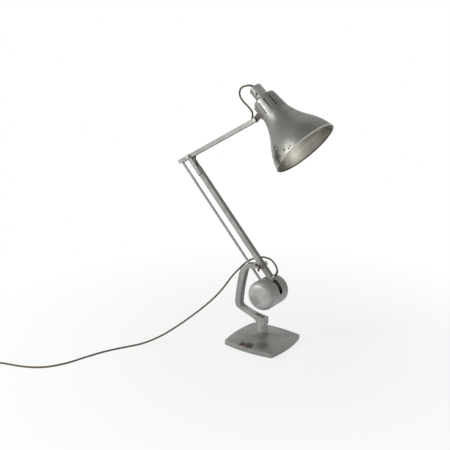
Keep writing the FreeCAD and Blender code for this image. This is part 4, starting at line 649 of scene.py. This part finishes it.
def dirtied(finish, place, reach, colour, cloud_size, low, high):
    """Puts a broken stain round one place on a finish that is already mixed."""
    tree = finish.node_tree
    spot = spot_on_piece(tree)
    near = near_point(tree, spot, place, reach)
    broken = mask(tree, work(tree, "ADD", cloud(tree, spot, cloud_size, 6.0, 0.8), near), low, high)
    overlay(finish, product(tree, broken, mask(tree, near, 0.0, 0.12)), colour)


foot_paint = aluminium_paint("foot_paint", (0.29, 0.29, 0.272), (0.205, 0.205, 0.188), BROWN_PRIMER,
                             26.0, 0.8,
                             rough=0.46, casting=0.24, metal=0.3)
tree = foot_paint.node_tree
# Painted light and shade: the upright edge is tinted lighter than the sloping sides.
on_edge = mask(tree, along(tree, way_it_faces(tree), (0.0, 0.0, 1.0)), 0.25, 0.75, 0.40, 0.0)
overlay(foot_paint, on_edge, (0.36, 0.36, 0.34))
grime = mask(tree, cloud(tree, spot_on_piece(tree), 260.0, 8.0, 1.0), 0.52, 0.64, 0.0, 0.6)
overlay(foot_paint, grime, (0.125, 0.12, 0.10))
dirtied(foot_paint, (0.034, -0.054, 0.018), 0.044, (0.145, 0.132, 0.104), 420.0, 1.06, 1.16)
dirtied(foot_paint, (0.000, -0.070, 0.016), 0.024, (0.075, 0.055, 0.035), 330.0, 0.90, 1.05)

# %% [markdown]
# ### The weight
#
# The two halves of the weight are heavy castings under the same paint, rubbed and mottled by being
# handled. The clouds are smaller and more of them show.

# %% Weight paint
weight_paint = aluminium_paint("weight_paint", (0.44, 0.437, 0.42), (0.34, 0.337, 0.318),
                               BROWN_PRIMER, 55.0, 0.7,
                               rough=0.48, casting=0.15)
dirtied(weight_paint, (0.004, -0.050, 0.140), 0.035, (0.27, 0.265, 0.24), 160.0, 0.95, 1.25)
tree = weight_paint.node_tree
# Painted shade: faces of the weight that look upward are tinted darker.
overlay(weight_paint, product(tree, facing(tree, (0.35, 0.35, 0.87), 0.05, 0.8), 0.75),
        (0.17, 0.165, 0.15))

# %% [markdown]
# The slot between the halves, where the arm and the rod run, is painted near black with its shine
# turned down, as painted shade for the deep shade inside it, and so is the end of the arm that lies
# in it. The slot is within 7 mm of the middle and inside the skin of the drum, so the distance from
# the middle and the distance from the drum's axis pick it out. The arm's end is picked out by its
# distance from the fulcrum, measured down the arm.

# %% Painted shade in the slot
FULCRUM = Vector((-0.0060, 0.0, 0.2255))
DOWN_ARM = Vector((0.6626, 0.0, -0.7490))
DRUM_AXIS = (0.01654, 0.0, 0.15299)
SLOT_SIDE = (0.0071, 0.0073)
DRUM_SKIN = (0.0400, 0.0405)
SHADED_ARM_END = (0.0515, 0.0530)


def paint_slot_shade(finish, amount):
    tree = finish.node_tree
    # Painted shade: where the amount is 1 the finish is tinted near black and its shine is turned
    # down.
    fine = cloud(tree, spot_on_piece(tree), 300.0, 4.0)
    overlay(finish, amount, tint(tree, fine, (0.006, 0.0055, 0.005), (0.020, 0.017, 0.013)))
    shader = tree.nodes["Principled BSDF"]
    metallic = shader.inputs["Metallic"]
    tree.links.new(mask(tree, amount, 0.0, 1.0, metallic.default_value, 0.0), metallic)
    tree.links.new(mask(tree, amount, 0.0, 1.0, 0.5, 0.1), shader.inputs["Specular IOR Level"])


tree = weight_paint.node_tree
apart = add(tree, "SeparateXYZ")
tree.links.new(spot_on_piece(tree), apart.inputs[0])
near_middle = mask(tree, work(tree, "ABSOLUTE", apart.outputs["Y"], 0.0), *SLOT_SIDE, 1.0, 0.0)
side_on = add(tree, "CombineXYZ")
tree.links.new(apart.outputs["X"], side_on.inputs["X"])
tree.links.new(apart.outputs["Z"], side_on.inputs["Z"])
from_axis = add(tree, "VectorMath", operation="DISTANCE")
tree.links.new(side_on.outputs[0], from_axis.inputs[0])
from_axis.inputs[1].default_value = DRUM_AXIS
under_skin = mask(tree, from_axis.outputs["Value"], *DRUM_SKIN, 1.0, 0.0)
paint_slot_shade(weight_paint, product(tree, near_middle, under_skin))

# Painted shade on the end of the arm that lies in the slot; the print gives where it starts.
tree = arm_paint.node_tree
down_arm = work(tree, "SUBTRACT", along(tree, spot_on_piece(tree), DOWN_ARM), FULCRUM.dot(DOWN_ARM))
paint_slot_shade(arm_paint, mask(tree, down_arm, *SHADED_ARM_END))
print("bare iron starts", round(1000 * sum(SHADED_ARM_END) / 2), "mm down the arm")

# %% [markdown]
# ### The spun shade
#
# The shade was spun on a lathe, and the tool left fine rings round it. Rings need the shade's own
# axis, so the place on the piece is first moved to the middle of the mouth and turned until the
# axis lies along X. Noise that is squeezed along X and stretched across it then gives rings. The
# same turned place tells the inside from the outside: inside, the surface looks towards the axis.
#
# Brushed rings also stretch every highlight across themselves. The Anisotropic setting of the
# shader does that, and its tangent is the direction round the ring.

# %% Shade finish
SHADE_MOUTH = (0.11637, 0.0, 0.55793)
SHADE_DROP = math.radians(43.3)

shade_finish, tree, shader = new_finish("spun_shade")
spot = spot_on_piece(tree)


def turned(tree, vector, angle):
    node = add(tree, "VectorRotate", rotation_type="Y_AXIS")
    node.inputs["Angle"].default_value = angle
    tree.links.new(vector, node.inputs["Vector"])
    return node.outputs[0]


moved = add(tree, "VectorMath", operation="SUBTRACT")
tree.links.new(spot, moved.inputs[0])
moved.inputs[1].default_value = SHADE_MOUTH
on_axis = turned(tree, moved.outputs[0], -SHADE_DROP)
parts = add(tree, "SeparateXYZ")
tree.links.new(on_axis, parts.inputs[0])

round_ring = add(tree, "CombineXYZ")
tree.links.new(product(tree, parts.outputs["Z"], -1.0), round_ring.inputs["Y"])
tree.links.new(parts.outputs["Y"], round_ring.inputs["Z"])
to_world = add(tree, "VectorTransform", vector_type="VECTOR", convert_from="OBJECT",
               convert_to="WORLD")
tree.links.new(turned(tree, round_ring.outputs[0], SHADE_DROP), to_world.inputs[0])
tree.links.new(to_world.outputs[0], shader.inputs["Tangent"])

outwards = add(tree, "CombineXYZ")
tree.links.new(parts.outputs["Y"], outwards.inputs["Y"])
tree.links.new(parts.outputs["Z"], outwards.inputs["Z"])
looks = add(tree, "VectorMath", operation="DOT_PRODUCT")
tree.links.new(turned(tree, way_it_faces(tree), -SHADE_DROP), looks.inputs[0])
tree.links.new(outwards.outputs[0], looks.inputs[1])
inside = mask(tree, looks.outputs["Value"], -0.004, 0.004, 1.0, 0.0)

fine_rings = cloud(tree, stretched(tree, on_axis, (1500.0, 5.0, 5.0)), 1.0, 3.0)
broad_rings = cloud(tree, stretched(tree, on_axis, (150.0, 4.0, 4.0)), 1.0, 3.0)
clouds = mask(tree, cloud(tree, on_axis, 16.0, 5.0, 0.5), 0.35, 0.68)
outside_colour = tint(tree, clouds, (0.185, 0.182, 0.165), (0.265, 0.262, 0.242))
outside_colour = tint(tree, mask(tree, broad_rings, 0.3, 0.75, 0.0, 0.35), outside_colour,
                      (0.135, 0.132, 0.115))
outside_colour = tint(tree, mask(tree, fine_rings, 0.35, 0.7, 0.0, 0.30), outside_colour,
                      (0.33, 0.327, 0.31))
inside_clouds = mask(tree, cloud(tree, on_axis, 24.0, 5.0, 0.8), 0.35, 0.7)
inside_colour = tint(tree, inside_clouds, (0.24, 0.225, 0.185), (0.38, 0.37, 0.33))
inside_colour = tint(tree, mask(tree, broad_rings, 0.4, 0.75, 0.0, 0.4), inside_colour,
                     (0.20, 0.175, 0.13))
# Painted shade: outside faces of the shade that look upward are tinted dark.
painted_shade_above = mask(tree, along(tree, way_it_faces(tree), (0.45, 0.0, 0.9)), 0.05, 0.75, 0.0, 0.62)
outside_colour = tint(tree, painted_shade_above, outside_colour, (0.060, 0.058, 0.044))
# Painted highlight: a bright patch with rings inside the shade, where light falls on it.
highlight_patch = near_point(tree, spot, (0.0560, 0.0500, 0.5290), 0.050)
highlight_rings = product(tree, highlight_patch, mask(tree, fine_rings, 0.3, 0.6, 0.6, 1.0))
inside_colour = tint(tree, highlight_rings, inside_colour, (0.78, 0.74, 0.63))
for place, reach in (((0.0500, 0.0000, 0.5020), 0.045), ((0.1300, 0.0720, 0.6040), 0.050)):
    blotchy = mask(tree, cloud(tree, spot, 70.0, 5.0, 0.8), 0.35, 0.6)
    stain = product(tree, near_point(tree, spot, place, reach), blotchy)
    inside_colour = tint(tree, product(tree, stain, 0.9), inside_colour, (0.14, 0.105, 0.055))
colour = tint(tree, inside, outside_colour, inside_colour)

# The bead at the mouth is painted with light and shade: a pale painted highlight on one side, and
# dark brown painted shade on the other.
at_mouth = mask(tree, parts.outputs["X"], -0.0022, -0.0010)
bead_lit_side = mask(tree, along(tree, on_axis, (0.0, -0.79, 0.61)), -0.02, 0.02)
bead_light_and_shade = tint(tree, bead_lit_side, (0.050, 0.036, 0.022), (0.46, 0.45, 0.42))
colour = tint(tree, product(tree, at_mouth, 0.85), colour, bead_light_and_shade)
specks = mask(tree, cloud(tree, spot, 330.0, 6.0, 1.0), 0.66, 0.72, 0.0, 0.35)
colour = tint(tree, specks, colour, (0.11, 0.09, 0.06))

# The finish is chipped near the mouth. Each chip is a small broken patch round one point.
on_outside = mask(tree, inside, 0.4, 0.6, 1.0, 0.0)
CHIPS = [
    ((0.0700, -0.0700, 0.5660), 0.014, 0.72),
    ((0.0770, -0.0750, 0.5560), 0.018, 0.66),
    ((0.0790, -0.0765, 0.5440), 0.020, 0.60),
    ((0.0890, -0.0805, 0.5350), 0.013, 0.64),
    ((0.1060, -0.0857, 0.5650), 0.0075, 0.64),
    ((0.1180, -0.0862, 0.5715), 0.0060, 0.60),
    ((0.1215, -0.0848, 0.5770), 0.0055, 0.60),
]
for place, reach, low in CHIPS:
    near = near_point(tree, spot, place, reach)
    ragged = work(tree, "ADD", cloud(tree, spot, 260.0, 4.0, 1.0), product(tree, near, 0.35))
    broken = mask(tree, ragged, low, low + 0.03)
    chip = product(tree, product(tree, broken, mask(tree, near, 0.0, 0.1)), on_outside)
    colour = tint(tree, chip, colour, (0.030, 0.024, 0.014))
worn = product(tree, corners(tree, 0.0006), mask(tree, cloud(tree, spot, 300.0, 4.0), 0.42, 0.6))
colour = tint(tree, worn, colour, (0.16, 0.12, 0.07))
tree.links.new(colour, shader.inputs["Base Color"])
shader.inputs["Metallic"].default_value = 0.65
shader.inputs["Anisotropic"].default_value = 0.55
tree.links.new(mask(tree, broad_rings, 0.3, 0.7, 0.30, 0.42), shader.inputs["Roughness"])
rough_skin(tree, shader, work(tree, "ADD", fine_rings, product(tree, broad_rings, 0.8)), 0.04,
           0.0004)
print("the shade is spun and brushed")

# %% [markdown]
# ### Bare metals and fittings
#
# Bolts and pins are bare steel, turned on a lathe, and darkened in their corners. The screws at the
# lug, the wing nut and the washers have gone brown. The lampholder is bright metal outside and
# brass within. One recipe serves them all: fine marks, a slow change of colour, and dirt in the
# corners.

# %% Bare metal
def bare_metal(name, light, dark, dirt, rough, marks=700.0, metal=1.0, skin=0.10):
    finish, tree, shader = new_finish(name)
    spot = spot_on_piece(tree)
    slow = mask(tree, cloud(tree, spot, 120.0, 4.0, 0.6), 0.35, 0.65)
    colour = tint(tree, slow, dark, light)
    fine = cloud(tree, spot, marks, 5.0)
    colour = tint(tree, mask(tree, fine, 0.52, 0.72, 0.0, 0.5), colour, dirt)
    colour = tint(tree, product(tree, corners(tree, 0.0005), 0.55), colour, dirt)
    tree.links.new(colour, shader.inputs["Base Color"])
    shader.inputs["Metallic"].default_value = metal
    tree.links.new(mask(tree, fine, 0.35, 0.7, rough, rough + 0.18), shader.inputs["Roughness"])
    rough_skin(tree, shader, fine, skin, 0.0003)
    return finish


turned_steel = bare_metal("turned_steel", (0.46, 0.45, 0.43), (0.33, 0.32, 0.30),
                          (0.14, 0.12, 0.09), 0.28)
brown_fittings = bare_metal("brown_fittings", (0.145, 0.115, 0.080), (0.075, 0.058, 0.040),
                            (0.040, 0.030, 0.020), 0.42)
round_nut_steel = bare_metal("round_nut_steel", (0.36, 0.355, 0.33), (0.25, 0.245, 0.22),
                             (0.10, 0.085, 0.06), 0.34)
pivot_disc = bare_metal("pivot_disc", (0.50, 0.49, 0.43), (0.42, 0.41, 0.35), (0.24, 0.20, 0.14),
                        0.40, metal=0.5)
holder_cap = bare_metal("holder_cap", (0.27, 0.268, 0.252), (0.19, 0.188, 0.172),
                        (0.20, 0.19, 0.165), 0.30, metal=0.75, skin=0.03)
holder_brass = bare_metal("holder_brass", (0.62, 0.47, 0.22), (0.48, 0.35, 0.15),
                          (0.22, 0.15, 0.07), 0.30)
plate_metal = bare_metal("worn_plate", (0.070, 0.050, 0.030), (0.032, 0.023, 0.014),
                         (0.20, 0.165, 0.11), 0.50, 300.0, 0.3)
clip_metal = bare_metal("clip_metal", (0.40, 0.39, 0.36), (0.27, 0.26, 0.23), (0.12, 0.10, 0.07),
                        0.36)
bulb_metal = bare_metal("bulb_metal", (0.66, 0.65, 0.62), (0.52, 0.51, 0.48), (0.26, 0.24, 0.20),
                        0.26)

# %% [markdown]
# ### Fibre, felt, rubber and plug plastic
#
# These are not metals. Fibre washers are a dull red brown, with layers. Felt is a mat of short
# hairs, so it has strong fine bump and a soft sheen. Rubber and the moulded plug are nearly black
# and half shiny.

# %% Soft and moulded finishes
def paler(colour, times):
    return tuple(min(1.0, part * times) for part in colour)


def dull(name, light, dark, rough, marks, bump, sheen=0.0):
    finish, tree, shader = new_finish(name)
    spot = spot_on_piece(tree)
    fine = cloud(tree, spot, marks, 6.0, 0.3)
    slow = mask(tree, cloud(tree, spot, marks * 0.12, 4.0, 0.6), 0.35, 0.65)
    colour = tint(tree, slow, dark, light)
    colour = tint(tree, mask(tree, fine, 0.5, 0.75, 0.0, 0.4), colour, paler(light, 1.5))
    colour = tint(tree, product(tree, corners(tree, 0.0006), 0.35), colour, paler(light, 1.8))
    tree.links.new(colour, shader.inputs["Base Color"])
    shader.inputs["Sheen Weight"].default_value = sheen
    tree.links.new(mask(tree, fine, 0.3, 0.7, rough - 0.06, rough + 0.10),
                   shader.inputs["Roughness"])
    rough_skin(tree, shader, fine, bump, 0.0005)
    return finish


red_fibre = dull("red_fibre", (0.22, 0.085, 0.045), (0.13, 0.05, 0.03), 0.62, 900.0, 0.25)
green_felt = dull("green_felt", (0.035, 0.075, 0.045), (0.020, 0.045, 0.028), 0.92, 1800.0, 0.8,
                  0.5)
black_rubber = dull("black_rubber", (0.035, 0.028, 0.022), (0.020, 0.016, 0.013), 0.55, 1200.0, 0.2)
plug_moulding = dull("plug_moulding", (0.050, 0.030, 0.020), (0.028, 0.018, 0.013), 0.28, 300.0,
                     0.06)
holder_insulator = dull("holder_insulator", (0.72, 0.69, 0.62), (0.60, 0.57, 0.50), 0.35, 500.0,
                        0.06)

# %% [markdown]
# ### The bulb
#
# The bulb is of pearl glass: etched inside, so that light passes but nothing shows through. A
# little transmission with a high roughness does that, over a white body.

# %% Pearl glass
pearl_glass, tree, shader = new_finish("pearl_glass")
spot = spot_on_piece(tree)
haze = cloud(tree, spot, 60.0, 4.0)
tree.links.new(tint(tree, mask(tree, haze, 0.3, 0.7), (0.80, 0.79, 0.76), (0.90, 0.90, 0.88)),
               shader.inputs["Base Color"])
shader.inputs["Transmission Weight"].default_value = 0.35
tree.links.new(mask(tree, haze, 0.3, 0.7, 0.22, 0.32), shader.inputs["Roughness"])
rough_skin(tree, shader, cloud(tree, spot, 1500.0, 3.0), 0.04, 0.0002)

# %% [markdown]
# ### The braid
#
# The flex is covered with a cotton braid: strands wind round it both ways and pass over and under
# each other, brown with a gold thread now and then. It is drawn in the UV map of the tube. One set
# of strands climbs as it goes round, the other falls, and each is a sine wave of the two UV
# numbers. The higher of the two waves is the strand on top.

# %% Braided cotton
STRANDS = 8.0
PER_METRE = STRANDS / (math.pi * FLEX)

cotton_braid, tree, shader = new_finish("cotton_braid")
flat_place = add(tree, "SeparateXYZ")
tree.links.new(add(tree, "UVMap", uv_map="UVMap").outputs[0], flat_place.inputs[0])
round_it = product(tree, flat_place.outputs["X"], STRANDS)
along_it = product(tree, flat_place.outputs["Y"], PER_METRE)
climbing = work(tree, "ADD", round_it, along_it)
falling = work(tree, "SUBTRACT", round_it, along_it)


def wave(tree, value, times):
    turns = product(tree, value, times * 2.0 * math.pi)
    return work(tree, "SINE", turns, 0.0)


strands = work(tree, "MAXIMUM", wave(tree, climbing, 1.0), wave(tree, falling, 1.0))
height = mask(tree, strands, -0.4, 1.0)
gold_thread = mask(tree, work(tree, "ADD", wave(tree, climbing, 0.25), wave(tree, falling, 0.25)),
                   0.9, 1.5)
fluff = cloud(tree, spot_on_piece(tree), 1400.0, 4.0)
age = mask(tree, cloud(tree, spot_on_piece(tree), 22.0, 4.0), 0.35, 0.68)
colour = tint(tree, age, (0.105, 0.070, 0.038), (0.185, 0.130, 0.070))
# Painted shade: the low parts between the strands are tinted dark.
colour = tint(tree, height, (0.045, 0.030, 0.017), colour)
colour = tint(tree, product(tree, gold_thread, height), colour, (0.50, 0.36, 0.17))
colour = tint(tree, mask(tree, fluff, 0.5, 0.8, 0.0, 0.35), colour, (0.34, 0.26, 0.15))
tree.links.new(colour, shader.inputs["Base Color"])
shader.inputs["Sheen Weight"].default_value = 0.25
tree.links.new(mask(tree, fluff, 0.3, 0.7, 0.68, 0.86), shader.inputs["Roughness"])
rough_skin(tree, shader, work(tree, "ADD", height, product(tree, fluff, 0.5)), 0.7, 0.0004)
print("the braid has", round(PER_METRE), "strand crossings in a metre")

# %% [markdown]
# ### Which part wears which finish
#
# A part of the measured model keeps its mesh, and only its material slots are filled.

# %% Put the finishes on
WORN_BY = [
    (foot_paint, "base_plate"),
    (green_felt, "base_felt_pad"),
    (plate_metal, "blank_plate"),
    (red_fibre, "swivel_washer fulcrum_fibre_washers elbow_washers head_pivot_washers"),
    (turned_steel, "swivel_spigot spigot_washer spigot_nut column_grub_screw"),
    (turned_steel, "fulcrum_bolt fulcrum_washers"),
    (turned_steel, "elbow_bolt elbow_nut elbow_rivets rod_tail_pin"),
    (turned_steel, "weight_clamp_screws weight_rod_pin weight_arm_pin"),
    (bracket_paint, "stem_bracket"),
    (round_nut_steel, "fulcrum_round_nut"),
    (brown_fittings, "wing_nut lug_screws lug_nuts cord_clip_screw"),
    (arm_paint, "lower_arm_channel elbow_ear_near elbow_ear_far upper_arm_channel"),
    (lug_paint, "head_lug"),
    (rod_paint, "parallel_rod"),
    (weight_paint, "weight_half_near weight_half_far"),
    (shade_finish, "shade"),
    (pivot_disc, "head_pivot_bolt head_pivot_nut"),
    (holder_cap, "lampholder_cap switch_push_bar cord_gland"),
    (holder_brass, "lampholder_barrel lampholder_ring contact_plungers plug_pins"),
    (holder_insulator, "contact_block"),
    (clip_metal, "cord_clip cord_bush"),
    (bulb_metal, "bulb_cap"),
    (pearl_glass, "bulb_glass"),
    (plug_moulding, "plug_cover plug_base"),
]
for finish, names in WORN_BY:
    for name in names.split():
        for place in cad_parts[name].material_slots:
            place.material = finish
for piece in (flex_at_bracket, flex_to_plug, head_flex, elbow_flex, lower_flex, upper_flex):
    piece.data.materials.append(cotton_braid)
for piece in (bush_sleeve, gland_sleeve):
    piece.data.materials.append(black_rubber)
print("finished parts:", sum(len(names.split()) for finish, names in WORN_BY))
